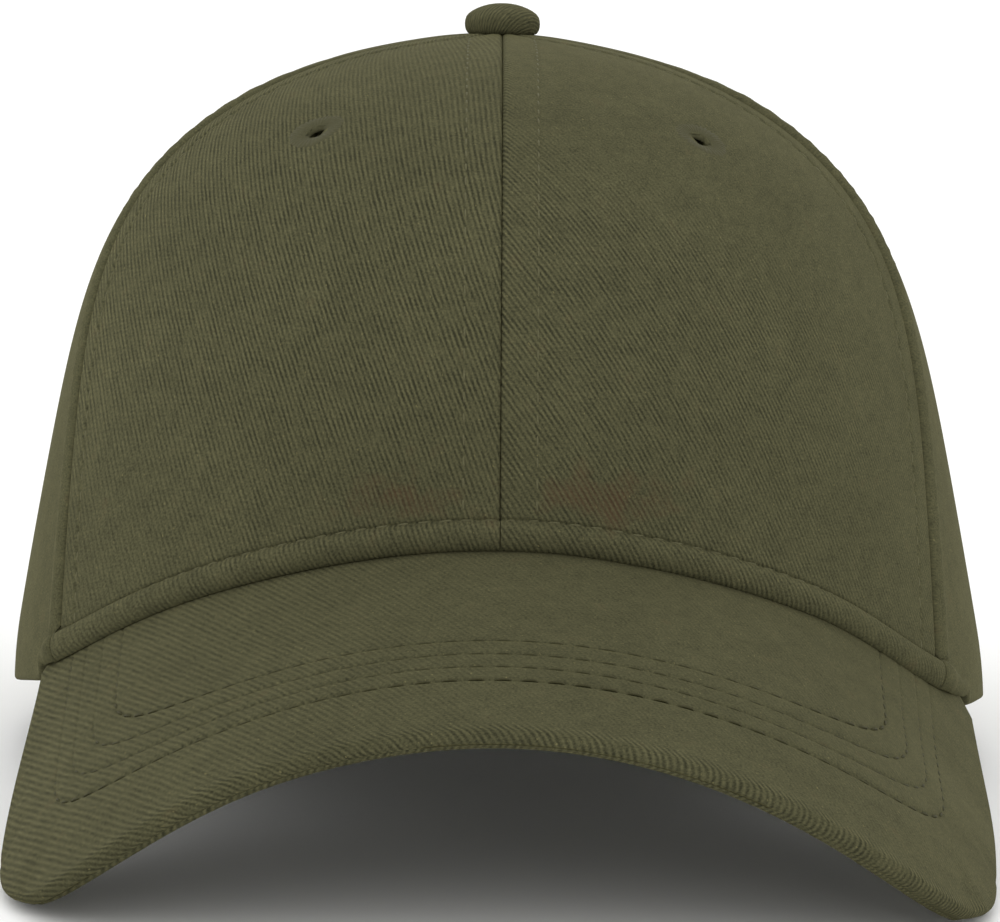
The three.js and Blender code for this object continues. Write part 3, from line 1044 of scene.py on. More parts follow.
@dataclass(frozen=True)
class Blotch:
    """A faint stain with a soft edge: a bell over an oval with its middle at x, z."""

    x: float
    z: float
    half_width: float
    half_height: float
    depth: float

    def cover(self, x: Array, z: Array) -> Array:
        """How strongly it colours the cloth at x, z."""
        over, up = (x - self.x) / self.half_width, (z - self.z) / self.half_height
        return self.depth * np.exp(-(over ** 2) - up ** 2)


@dataclass(frozen=True)
class CrownNap:
    """How clearly the ribs show on the crown: worn in the middle of the front, fading to its top and sides.

    On the left they fade up past left_top and out past left_side, more so low down; on the right above the
    line right_top - right_top_slope * x and out past right_side. Both fade a little towards the hem.
    """

    low: Fade = Fade(34.0, 28.0)
    left_low_loss: float = 0.35
    left_top: Fade = Fade(92.0, 20.0, 0.5)
    left_side: float = 40.0
    left_side_span: float = 25.0
    left_side_loss: float = 0.2
    left_side_low_loss: float = 0.45
    right_share: float = 0.78
    right_low_loss: float = 0.28
    right_top: float = 98.0
    right_top_slope: float = 0.45
    right_top_span: float = 18.0
    right_side: Fade = Fade(35.0, 35.0, 0.7)
    right_least: float = 0.1

    def at(self, points: Array) -> Array:
        """Works out the nap.

        Args:
            points: Points of the crown.

        Returns:
            0 where the ribs are hidden to 1 where they are clearest.
        """
        x, z = points[..., 0], points[..., 2]
        low = self.low.kept(z)
        side = smooth((-x - self.left_side) / self.left_side_span)
        side_loss = mix(self.left_side_loss, self.left_side_low_loss, low)
        left = (1 - self.left_low_loss * low) * self.left_top.kept(z) * (1 - side * side_loss)
        under_top = self.right_top - self.right_top_slope * x + self.right_top_span / 2 - z
        right = self.right_share * (1 - self.right_low_loss * low) * smooth(under_top / self.right_top_span)
        return np.where(x < 0, left, right * self.right_side.kept(x) + self.right_least)


# The crown


@dataclass
class Chart:
    """Distances across one panel: where each column of its grid runs at every height."""

    u_at: Array
    distance: Array
    width: Array
    squeeze: Array

    def read(self, table: Array, z: Array) -> Array:
        """Reads one of the chart's tables, straight between its levels.

        Args:
            table: The table, (levels, columns).
            z: Heights, (columns, rows).

        Returns:
            The table's values at those heights.
        """
        level = CROWN.dome_share(z) / CrownPanels.TOP_SHARE * (len(table) - 1)
        low = np.clip(np.floor(level).astype(int), 0, len(table) - 2)
        column = np.arange(table.shape[1])[:, None] if table.shape[1] > 1 else 0
        return mix(table[low, column], table[low + 1, column], np.clip(level - low, 0, 1))


@dataclass
class CrownPanels:
    """The six crown panels: plain twill walls with turned seams, topstitched allowances and a rolled hem."""

    NAMES = ("front_panel_right", "side_panel_right", "back_panel_right",
             "back_panel_left", "side_panel_left", "front_panel_left")
    FRONT, SIDES, BACK = (0, 5), (1, 4), (2, 3)
    TOP_SHARE = 0.999

    # Distances of the grid's columns from a seam, and of its rows from the edge: closest beside the stitches.
    edge_steps: tuple[float, ...] = (
        0, 0.05, 0.14, 0.28, 0.45, 0.7, 1.1, 1.8, 2.7, 3.7, 4.7, 5.3, 5.65, 5.85, 6.0, 6.15, 6.35, 6.7, 7.3,
        8.2, 9.4,
    )
    hem_steps: tuple[float, ...] = (
        0, 0.04, 0.13, 0.3, 0.55, 0.95, 1.5, 2.1, 2.65, 3.2, 3.8, 4.35, 4.75, 5.0, 5.17, 5.3, 5.43, 5.65,
        6.0, 6.6, 7.6,
    )
    kept_step: float = 6.35
    least_width: float = 2.15
    spare_width: float = 1.5
    levels: int = 120
    samples: int = 64
    front_middle: int = 60
    other_middle: int = 50
    front_rows: int = 130
    other_rows: int = 110
    foot_rounds: int = 5
    blocks: int = 40
    top_hole: float = 0.978
    turn_radius: float = 0.95
    allowance: float = 6.0
    allowance_rise: float = 0.22
    allowance_start: float = 0.3
    allowance_fade: float = 0.9
    stitch_dip: float = 0.21
    stitch_width: float = 0.36
    hem_height: float = 5.0
    hem_roll: float = 1.9
    hem_cover: float = 0.6
    hem_dip: float = 0.3
    hem_start: float = 0.015
    hem_low_power: float = 1.8
    hem_high_power: float = 2.6
    tail_height: float = 2.8
    tail_roll: float = 1.0
    tail_over: float = 0.8
    tail_fade: float = 1.5
    edge_turn: float = 0.7
    left_ridge: float = 0.75
    right_ridge: float = 1.0
    ridge_width: float = 2.6
    ridge_top: float = 116.0
    ridge_fade: float = 12.0
    pucker: float = 0.09
    pucker_pitch: float = 2.5
    pucker_slant: float = 0.8
    seam_gap: float = 0.11
    front_wave: Wave = Wave(0.16, 15.0, 1.3, 12.0, 0.4)
    side_wave: float = 0.12
    side_wave_length: float = 13.0
    side_wave_rise: float = 21.0
    top_pull: float = 0.4
    top_pull_start: float = 111.0
    top_pull_fade: float = 5.0
    opening_half_width: float = 42.0
    opening_height: float = 50.0
    opening_foot: float = 0.5
    seam_row_start: float = 0.4
    moon_row_start: float = 5.5
    seam_row_end: float = 0.93
    seam_row_rise: float = 0.6
    hem_row_dip: float = 0.6
    path_steps: int = 300
    nap: CrownNap = CrownNap()
    nap_shares: tuple[float, ...] = (1.0, 0.12, 0.6, 0.6, 0.12, 1.0)
    blotches: tuple[Blotch, ...] = (Blotch(17.0, 41.6, 11.0, 4.6, 1.0), Blotch(-17.0, 41.2, 12.0, 4.4, 0.72))
    stitching: Stitching = Stitching()
    grains: tuple[Grain, ...] = (
        Grain(Slant(0.93, 1.19, -62.0, 60.0), Slant(0.68, 0.2, 55.0, 65.0)),
        Grain(), Grain(), Grain(), Grain(),
        Grain(Slant(0.45, 1.12, -62.0, 100.0), Slant(0.36, 0.65, 42.0, 56.0)),
    )

    def chart(self, panel: int, middle: int) -> Chart:
        """Works out the columns of a panel's grid.

        At each height the panel's width is the length of its arc. Columns lie at fixed distances from both
        seams, closed up where the panel is narrow, and evenly between those.

        Args:
            panel: The panel's number.
            middle: How many even spaces lie between the edge columns.

        Returns:
            The chart.
        """
        z = CROWN.dome_height(np.linspace(0, self.TOP_SHARE, self.levels))
        u = panel + np.linspace(0, 1, self.samples + 1)
        arc = np.linalg.norm(np.diff(CROWN.point(u[None], z[:, None]), axis=1), axis=2)
        along = np.concatenate([np.zeros((self.levels, 1)), np.cumsum(arc, axis=1)], axis=1)
        width = along[:, -1:]
        steps, kept = np.array(self.edge_steps), self.kept_step
        squeeze = np.minimum(1, width / (self.least_width * kept))
        spare = np.clip((width / 2 - kept * squeeze) / (self.spare_width * (steps[-1] - kept)), 0.0, 1.0)
        near = np.minimum(steps, kept) * squeeze + np.maximum(steps - kept, 0) * spare
        between = np.linspace(0, 1, middle + 1)[1:-1]
        distance = np.concatenate([
            near, mix(near[:, -1:], width - near[:, -1:], between), width - near[:, ::-1],
        ], axis=1)
        u_at = np.array([np.interp(d, a, u) for d, a in zip(distance, along)])
        return Chart(u_at, distance, width, squeeze)

    def reach_angle(self, reach: Array, z: Array) -> Array:
        """The angle from the back at which the crown reaches a distance to the side, found by repetition.

        Args:
            reach: The distance.
            z: The height.

        Returns:
            The angle in degrees.
        """
        angle = 0 * reach
        for _ in range(SOLVE_ROUNDS):
            angle = np.arcsin(reach / ((CROWN.half_width - CROWN.width_taper * z) * CROWN.fullness(angle)))
        return angle / TURN

    def foot(self, panel: int, chart: Chart, depth: float) -> Pair:
        """The lower edge of a panel: the rim, or in a back panel also the half-moon of the opening.

        Args:
            panel: The panel's number.
            chart: Its chart.
            depth: How far inside the outer face.

        Returns:
            u and z of each column's foot.
        """
        z = np.zeros((chart.u_at.shape[1], 1))
        if panel not in self.BACK:
            for _ in range(self.foot_rounds):
                u = chart.read(chart.u_at, z)
                z = RIM.height(u, depth if depth else -self.hem_edge(u))
            return u, z
        across = (chart.distance[0] / chart.width[0])[:, None]
        from_back, side = (1 - across, -1) if panel == self.BACK[0] else (across, 1)
        start = self.reach_angle(np.array(self.opening_half_width), np.array(0.0)) / CROWN.seam_rim_angle
        share = np.clip((from_back - self.opening_foot) / (1 - self.opening_foot), 0, 1)
        on_rim = 3 + side * mix(start, 1, share)
        turn = np.clip(from_back / self.opening_foot, 0, 1) * np.pi / 2
        height = self.opening_height * np.cos(turn)
        angle = self.reach_angle(self.opening_half_width * np.sin(turn), height)
        on_moon = 3 + side * angle / CROWN.seam_angle(np.full(height.shape, 1), height)
        is_rim = from_back >= self.opening_foot
        return np.where(is_rim, on_rim, on_moon), np.where(is_rim, RIM.height(on_rim, depth), height)

    def hem(self, u: Array) -> Pair:
        """The hem's size: full over the peak, tapering to its tail behind the side seam.

        Args:
            u: The place round the crown.

        Returns:
            Its height and how far it stands out.
        """
        turned = CROWN.angle(u, 0.0) / TURN
        angle = np.minimum(turned, 360 - turned)
        end = np.where(u > 3, RIM.left_corner, RIM.right_corner) + self.tail_over
        tail = smooth((angle - CROWN.seam_rim_angle) / (end - CROWN.seam_rim_angle))
        gone = smooth((angle - end) / self.tail_fade)
        roll = mix(mix(self.hem_roll, self.tail_roll, tail), 0.0, gone)
        return mix(self.hem_height, self.tail_height, tail), roll

    def hem_profile(self, share: Array) -> Array:
        """The hem's section: sqrt(1 - |1 - 2s|^p), with one power p for its lower and one for its upper half.

        Args:
            share: How far up the hem.

        Returns:
            How far it stands out there, of 1.
        """
        at = mix(self.hem_start, 1.0, np.clip(share, 0, 1))
        power = np.where(at < 0.5, self.hem_low_power, self.hem_high_power)
        return np.sqrt(np.maximum(1 - np.abs(1 - 2 * at) ** power, 0))

    def hem_edge(self, u: Array) -> Array:
        """How far the very edge of the hem stands out."""
        return self.hem(u)[1] * float(self.hem_profile(np.array(0.0)))

    def relief(self, panel: int, above: Array, left: Array, right: Array, squeeze: Array,
               u: Array, z: Array) -> Array:
        """How far the cloth stands out of the plain crown.

        The seam turns in as a quarter circle, the allowance under it lifts the cloth as far as its row of
        stitches, each row of stitches is a narrow bell-shaped dip, and the hem is a full roll between its
        edge and its row. A side panel also rises in a rounded ridge along its front seam, puckered by the
        stitches as a cosine of the height.

        Args:
            panel: The panel's number.
            above: The distance above the edge.
            left: The distance from the left seam.
            right: The distance from the right seam.
            squeeze: How far the edge columns are closed up.
            u: The place round the crown.
            z: The height.

        Returns:
            Offsets in millimetres, outwards.
        """
        out = np.zeros(above.shape)
        for seam in (left, right):
            turn = 1 - np.clip(seam, 0, self.turn_radius) / self.turn_radius
            out -= self.turn_radius * (1 - np.sqrt(1 - turn ** 2)) * np.clip(squeeze * 2, 0, 1)
            row = self.allowance * squeeze
            past = (seam - row + self.allowance_start) / (self.allowance_fade * squeeze)
            out += self.allowance_rise * squeeze * (1 - smooth(past))
            out -= self.stitch_dip * bell(seam - row, self.stitch_width)
        if panel in self.SIDES:
            seam, ridge = (left, self.right_ridge) if panel == self.SIDES[0] else (right, self.left_ridge)
            bulge = bell(seam - self.ridge_width, self.ridge_width)
            wave = np.cos(2 * np.pi * (z + self.pucker_slant * seam) / self.pucker_pitch)
            out += bulge * (ridge + self.pucker * wave) * smooth((self.ridge_top - z) / self.ridge_fade)
        height, roll = self.hem(u)
        hem = roll * self.hem_profile(above / height)
        edge = 1 - np.clip(above / self.edge_turn, 0, 1)
        turned_in = self.edge_turn * (1 - np.sqrt(1 - edge ** 2)) * np.clip(1 - roll / self.tail_roll, 0, 1)
        lifted = np.clip(roll / self.hem_roll, 0, 1)
        out = np.where(above < height, out * (1 - self.hem_cover * lifted) + hem, out) - turned_in
        out -= self.hem_dip * lifted * bell(above - height, self.stitch_width)
        return out

    def unevenness(self, points: Array) -> Array:
        """A slow unevenness of the cloth: two long waves in space, and the top pulled down by the button.

        Args:
            points: Points of the crown.

        Returns:
            Offsets in millimetres, outwards.
        """
        x, y, z = np.moveaxis(points, -1, 0)
        side = self.side_wave * np.sin(y / self.side_wave_length + z / self.side_wave_rise)
        pulled = self.top_pull * smooth((z - self.top_pull_start) / self.top_pull_fade)
        return self.front_wave.at(x, z) + side - pulled

    def stain(self, points: Array) -> Array:
        """The faint brownish blotches above the front hem: 0 on clean cloth and on the back, to 1."""
        x, y, z = np.moveaxis(points, -1, 0)
        return np.where(y < 0, sum(blotch.cover(x, z) for blotch in self.blotches), 0.0)

    def cloth_place(self, panel: int, z: Array, across: Array) -> Array:
        """Where a point lies on its panel's flat cloth: its distance from the middle line, and the arc up it.

        Args:
            panel: The panel's number.
            z: The height.
            across: The distance from the panel's middle line.

        Returns:
            x and y on the cloth, in millimetres.
        """
        levels = CROWN.dome_height(np.linspace(0, 1, CURVE_STEPS))
        up = lengths_along(CROWN.point(np.full(CURVE_STEPS, panel + 0.5), levels))
        return self.grains[panel].place(across, np.interp(z, levels, up))

    def above_edge(self, plain: Array) -> Array:
        """How far each point of a back panel lies from its curved edge, worked out block by block.

        Args:
            plain: The panel's grid, whose first row is the edge.

        Returns:
            Distances, (columns, rows).
        """
        edge, blocks = plain[:, 0], np.array_split(plain.reshape(-1, 3), self.blocks)
        nearest = [np.sqrt(((block[:, None] - edge[None]) ** 2).sum(2)).min(1) for block in blocks]
        return np.concatenate(nearest).reshape(plain.shape[:2])

    def face(
        self, panel: int, chart: Chart, depth: float,
    ) -> tuple[Array, Array, dict[str, Array]]:
        """Works out one face of a panel.

        Rows lie at fixed distances above the edge, and on from there so that their height is
        height - span * (1 - share)^2.

        Args:
            panel: The panel's number.
            chart: Its chart.
            depth: How far inside the outer face; the outer face alone has relief.

        Returns:
            The grid, its places on the cloth, and its nap and stain.
        """
        foot_u, foot_z = self.foot(panel, chart, depth)
        span = CROWN.height - foot_z
        hem_share = 1 - np.sqrt(1 - np.array(self.hem_steps) / span)
        rise = np.linspace(0, 1, (self.front_rows if panel in self.FRONT else self.other_rows) + 1)[1:]
        share = np.concatenate([hem_share, mix(hem_share[:, -1:], self.top_hole, rise)], axis=1)
        z = CROWN.height - span * (1 - share) ** 2
        u, width = chart.read(chart.u_at, z), chart.read(chart.width, z)
        left = chart.read(chart.distance, z)
        if panel in self.BACK:
            u = mix(foot_u, u, smooth(share))
            left = (u - panel) * width
        plain = CROWN.point(u, z)
        stand = self.unevenness(plain)
        if depth == 0:
            above = self.above_edge(plain) if panel in self.BACK else z - foot_z
            squeeze = chart.read(chart.squeeze, z)
            stand = self.relief(panel, above, left, width - left, squeeze, u, z) + stand
        fields = {NAP_FIELD: self.nap.at(plain) * self.nap_shares[panel], STAIN_FIELD: self.stain(plain)}
        grid = plain + CROWN.normal(u, z) * (stand - depth)[..., None]
        return grid, self.cloth_place(panel, z, left - width / 2), fields

    def build_panel(self, panel: int, material: Material, eyelet: "Eyelet") -> bpy.types.Object:
        """Builds one panel with the hole of its eyelet.

        Args:
            panel: The panel's number round the crown.
            material: The twill.
            eyelet: The eyelet worked in this panel.

        Returns:
            The panel's object.
        """
        chart = self.chart(panel, self.front_middle if panel in self.FRONT else self.other_middle)
        outer, cloth, fields = self.face(panel, chart, 0.0)
        inner, _, _ = self.face(panel, chart, CROWN.wall)
        for end, towards in ((0, 1), (-1, -2)):
            step = unit(outer[towards] - outer[end]) * self.seam_gap
            outer[end] += step
            inner[end] += step
        keep, shift = eyelet.hole(outer)
        points, faces = walled_sheet(outer + shift, inner + shift, keep)
        fields = {key: np.tile(values.ravel(), 2) for key, values in fields.items()}
        name, flat_cloth = self.NAMES[panel], np.tile(cloth.reshape(-1, 2), (2, 1))
        return make_piece(name + "_cloth", points, faces, material, (name,), flat_cloth, fields)

    def seam_paths(self) -> list[Pair]:
        """The rows of topstitching on both sides of every seam, from the hem or opening to the button.

        Returns:
            Pairs of points and normals.
        """
        paths = []
        for panel in range(len(self.NAMES)):
            chart = self.chart(panel, self.other_middle)
            for is_left in (True, False):
                seam = (panel if is_left else panel + 1) % len(self.NAMES)
                is_back = seam == 3
                over_moon = self.opening_height + self.moon_row_start
                start = over_moon if is_back else self.hem_height + self.seam_row_start
                foot = 0.0 if is_back else float(RIM.height(np.array([float(seam)]), 0.0)[0])
                first = float(CROWN.dome_share(np.array(foot + start)))
                share = np.linspace(first, self.seam_row_end, self.path_steps)
                column = self.edge_steps.index(self.allowance)
                column = column if is_left else chart.u_at.shape[1] - 1 - column
                u = np.interp(share / self.TOP_SHARE, np.linspace(0, 1, self.levels), chart.u_at[:, column])
                stand = self.allowance_rise * self.seam_row_rise - self.stitch_dip
                paths.append(self.on_cloth(u, CROWN.dome_height(share), stand))
        return paths

    def on_cloth(self, u: Array, z: Array, stand: float) -> Pair:
        """The points and normals of a row of stitches that stands out of the plain crown by a distance."""
        plain, normals = CROWN.point(u, z), CROWN.normal(u, z)
        return plain + normals * (stand + self.unevenness(plain))[..., None], normals

    def hem_paths(self) -> list[Pair]:
        """The row above the front hem, from side seam to side seam, and the row round the back opening.

        Returns:
            Pairs of points and normals.
        """
        paths = []
        for panel in self.FRONT:
            u = np.linspace(panel, panel + 1, self.path_steps)
            foot = RIM.height(u, -self.hem_edge(u))
            paths.append(self.on_cloth(u, foot + self.hem_height, -self.hem_row_dip * self.hem_dip))
        turn = np.linspace(-np.pi / 2, np.pi / 2, self.path_steps)
        reach, height = self.opening_half_width + self.hem_height, self.opening_height + self.hem_height
        z = height * np.cos(turn)
        angle = self.reach_angle(reach * np.sin(turn), z)
        u = 3 + angle / CROWN.seam_angle(np.full(z.shape, 1), z)
        paths.append(self.on_cloth(u, z, -self.stitch_dip))
        return paths

    def build(self, twill: Material, thread: Material, eyelets: "Eyelets") -> None:
        """Builds the panels and their stitching.

        Args:
            twill: The panels' finish.
            thread: The stitches' finish.
            eyelets: The eyelets whose holes the panels need.
        """
        for panel, eyelet in enumerate(eyelets.rings):
            self.build_panel(panel, twill, eyelet)
        rows = {"crown_seam_stitches": self.seam_paths(), "crown_hem_stitches": self.hem_paths()}
        for name, paths in rows.items():
            points, faces = self.stitching.rows(paths)
            make_piece(name, points, faces, thread)


# Eyelets and button


@dataclass(frozen=True)
class Eyelet:
    """One worked eyelet: a low ring of radial stitches round a small hole, drawn down into the cloth.

    The ring's section is a closed profile. Its upper side is raised into ridges, one for each stitch, as
    |sin(turn * stitches / 2)| - 1/2, and its outer part wobbles by two sines of the turn.
    """

    name: str
    panel: int
    across: float
    height: float = 99.9
    hole_radius: float = 2.0
    cleared: float = 4.3
    near_share: float = 3.0
    dimple: float = 0.55
    dimple_reach: float = 4.6
    stitches: int = 34
    per_stitch: int = 5
    ridge: float = 0.1
    ridge_foot: float = -0.35
    ridge_rise: float = 0.3
    ridge_inner: float = 1.2
    ridge_span: float = 0.8
    lobes: int = 3
    lobe_share: float = 0.04
    lobe_start: float = 3.5
    ripples: int = 11
    ripple_share: float = 0.02
    ripple_start: float = 4.4
    small_step: float = 0.02
    rounds: int = 6

    # The section: each point is a radius and a height.
    PROFILE = ((1.55, -1.0), (2.4, -1.0), (3.6, -0.8), (4.7, -0.6), (5.3, -0.45), (5.35, -0.3), (5.0, -0.12),
               (4.6, 0.0), (4.1, 0.07), (3.5, 0.1), (2.8, 0.04), (2.2, -0.08), (1.85, -0.22), (1.65, -0.4),
               (1.5, -0.6), (1.48, -0.8))

    def frame(self) -> tuple[Array, Array, Array, Array]:
        """Works out where the eyelet sits.

        Returns:
            The centre, the normal and two directions across the cloth.
        """
        u, z = np.array([self.panel + self.across]), np.array([self.height])
        centre, normal = CROWN.point(u, z)[0], CROWN.normal(u, z)[0]
        first = unit(np.cross(np.array([0.0, 0.0, 1.0]), normal))
        return centre, normal, first, np.cross(normal, first)

    def on_crown(self, flat: Array) -> Pair:
        """The crown's points and normals over places round the eyelet's centre, found by Newton's steps.

        One unit of u is tens of millimetres, so its small step is a tenth of the one in z.

        Args:
            flat: Distances along the eyelet's two directions, last axis.

        Returns:
            The points and the outward normals.
        """
        centre, _, first, second = self.frame()
        axes = np.stack([first, second], -1)
        step = self.small_step
        u, z = np.full(flat.shape[:-1], self.panel + self.across), np.full(flat.shape[:-1], self.height)
        for _ in range(self.rounds):
            point = CROWN.point(u, z)
            miss = flat - (point - centre) @ axes
            by_u = (CROWN.point(u + step / 10, z) - point) @ axes * 10 / step
            by_z = (CROWN.point(u, z + step) - point) @ axes / step
            scale = by_u[..., 0] * by_z[..., 1] - by_u[..., 1] * by_z[..., 0]
            u = u + (miss[..., 0] * by_z[..., 1] - miss[..., 1] * by_z[..., 0]) / scale
            z = z + (by_u[..., 0] * miss[..., 1] - by_u[..., 1] * miss[..., 0]) / scale
        return CROWN.point(u, z), CROWN.normal(u, z)

    def hole(self, outer: Array) -> Pair:
        """Opens a hole in a panel's grid and dimples the cloth round it.

        The quad nearest the centre goes, and points within the cleared radius R move out from r to
        h + r * (1 - h / R), where h is the hole's radius. The dimple is a bell of the distance.

        Args:
            outer: The panel's outward grid.

        Returns:
            Which quads stay, and how far each point moves.
        """
        centre, normal, _, _ = self.frame()
        offset = outer - centre
        flat = offset - (offset @ normal)[..., None] * normal
        radius = np.linalg.norm(flat, axis=-1)
        distance = np.linalg.norm(offset, axis=-1)
        new = self.hole_radius + radius * (1 - self.hole_radius / self.cleared)
        is_near = (distance < self.near_share * self.cleared) & (radius < self.cleared)
        move = np.where(is_near, new - radius, 0.0)
        sunk = self.dimple * bell(distance, self.dimple_reach)
        shift = unit(flat) * move[..., None] - normal * sunk[..., None]
        middles = (outer[:-1, :-1] + outer[1:, :-1] + outer[1:, 1:] + outer[:-1, 1:]) / 4
        gone = np.linalg.norm(middles - centre, axis=-1)
        keep = np.ones(gone.shape, bool)
        keep[np.unravel_index(gone.argmin(), gone.shape)] = False
        return keep, shift

    def build(self, thread: Material) -> bpy.types.Object:
        """Builds the ring.

        Args:
            thread: Its finish.

        Returns:
            The ring's object.
        """
        count = self.stitches * self.per_stitch
        turn = (np.arange(count) / count * 2 * np.pi)[:, None]
        radius, height = np.array(self.PROFILE).T
        raised = np.clip((height - self.ridge_foot) / self.ridge_rise, 0, 1)
        raised = raised * np.clip((radius - self.ridge_inner) / self.ridge_span, 0, 1)
        wave = (np.abs(np.sin(turn * self.stitches / 2)) - 0.5) * self.ridge * raised
        lobe = self.lobe_share * np.sin(self.lobes * turn + self.panel) * (radius > self.lobe_start)
        ripple = self.ripple_share * np.sin(self.ripples * turn) * (radius > self.ripple_start)
        r = radius * (1 + lobe + ripple)
        points, normals = self.on_crown(np.stack([r * np.cos(turn), r * np.sin(turn)], -1))
        sunk = self.dimple * bell(r, self.dimple_reach)
        points = points + normals * (height - sunk + wave)[..., None]
        ids = np.arange(points.shape[0] * points.shape[1]).reshape(points.shape[:2])
        beyond = np.roll(ids, -1, axis=0)
        faces = np.stack([ids, beyond, np.roll(beyond, -1, axis=1), np.roll(ids, -1, axis=1)], -1)
        points, faces = points.reshape(-1, 3), faces.reshape(-1, 4)
        return make_piece(self.name + "_ring", points, faces, thread, (self.name,))


@dataclass
class Eyelets:
    """The six eyelets, one in each panel, in the order of the panels."""

    rings: tuple[Eyelet, ...] = (
        Eyelet("eyelet_front_right", 0, 0.569),
        Eyelet("eyelet_side_right", 1, 0.5),
        Eyelet("eyelet_back_right", 2, 0.5),
        Eyelet("eyelet_back_left", 3, 0.5),
        Eyelet("eyelet_side_left", 4, 0.5),
        Eyelet("eyelet_front_left", 5, 0.481, 100.2),
    )

    def build(self, thread: Material) -> None:
        """Builds all six rings."""
        for ring in self.rings:
            ring.build(thread)


@dataclass
class Button:
    """The button on the top: a low dome covered in the crown's twill, drawn in at its foot.

    It is a profile turned about its axis. Below gather_top the radius waves as a sine of the turn.
    """

    # The section from foot to tip: each point is a radius and a height.
    profile: tuple[tuple[float, float], ...] = (
        (1.5, -1.6), (4.6, -1.2), (6.0, -0.65), (6.35, -0.1), (6.5, 0.45), (6.56, 1.0), (6.52, 1.6),
        (6.35, 2.2), (5.95, 2.75), (5.3, 3.25), (4.4, 3.73), (3.4, 4.12), (2.4, 4.4), (1.4, 4.56),
        (0.6, 4.62),
    )
    around: int = 72
    grain: Grain = Grain(Slant(1.15, 1.15), Slant(-0.85, -0.85))
    gathers: int = 18
    gather_depth: float = 0.06
    gather_top: float = 2.2
    gather_fade: float = 2.0
    tip_arc: float = 0.9
    foot_arc: float = 1.5
    nap: float = 0.65

    def build(self, twill: Material) -> bpy.types.Object:
        """Builds the covered button.

        Args:
            twill: Its finish.

        Returns:
            The button's object.
        """
        radius, height = np.array(self.profile).T
        turn = (np.arange(self.around) / self.around * 2 * np.pi)[:, None]
        low = np.clip((self.gather_top - height) / self.gather_fade, 0, 1)
        r = radius + self.gather_depth * np.sin(turn * self.gathers) * low
        points = np.stack([r * np.cos(turn), r * np.sin(turn), np.broadcast_to(height, r.shape)], -1)
        ends = np.array([[0, 0, height[0]], [0, 0, height[-1]]])
        lean = CROWN.lean * CROWN.height + CROWN.middle_lean * (CROWN.height - CROWN.middle_start)
        points = np.concatenate([points.reshape(-1, 3), ends]) + [lean, 0, CROWN.height]
        ids = np.arange(r.size).reshape(r.shape)
        after = np.roll(ids, -1, axis=0)
        quads = np.stack([ids[:, :-1], after[:, :-1], after[:, 1:], ids[:, 1:]], -1).reshape(-1, 4).tolist()
        foot, tip = ids.size, ids.size + 1
        quads += [[foot, b, a] for a, b in zip(ids[:, 0].tolist(), after[:, 0].tolist())]
        quads += [[tip, a, b] for a, b in zip(ids[:, -1].tolist(), after[:, -1].tolist())]
        # The cloth is laid on from the top, so its place is the arc from the tip in each direction.
        run = np.cumsum(np.hypot(np.diff(radius), np.diff(height))[::-1])[::-1]
        arc = np.concatenate([run + self.tip_arc, [self.tip_arc]])
        place = self.grain.place(arc * np.cos(turn), arc * np.sin(turn))
        cloth = np.concatenate([place.reshape(-1, 2), [[arc[0] + self.foot_arc, 0], [0, 0]]])
        fields = {NAP_FIELD: np.full(len(points), self.nap), STAIN_FIELD: np.zeros(len(points))}
        return make_piece("button_cover", points, quads, twill, ("button",), cloth, fields)


# The peak


@dataclass
class PeakGrid:
    """The columns of the peak's grid on the flat plate, from its edge to under the crown.

    Widths are without their sign, which side gives. A crossing is a share from outer to inner end.
    """

    outer: Array
    inner: Array
    side: Array
    span: Array
    crossing: Array
    is_crossed: Array


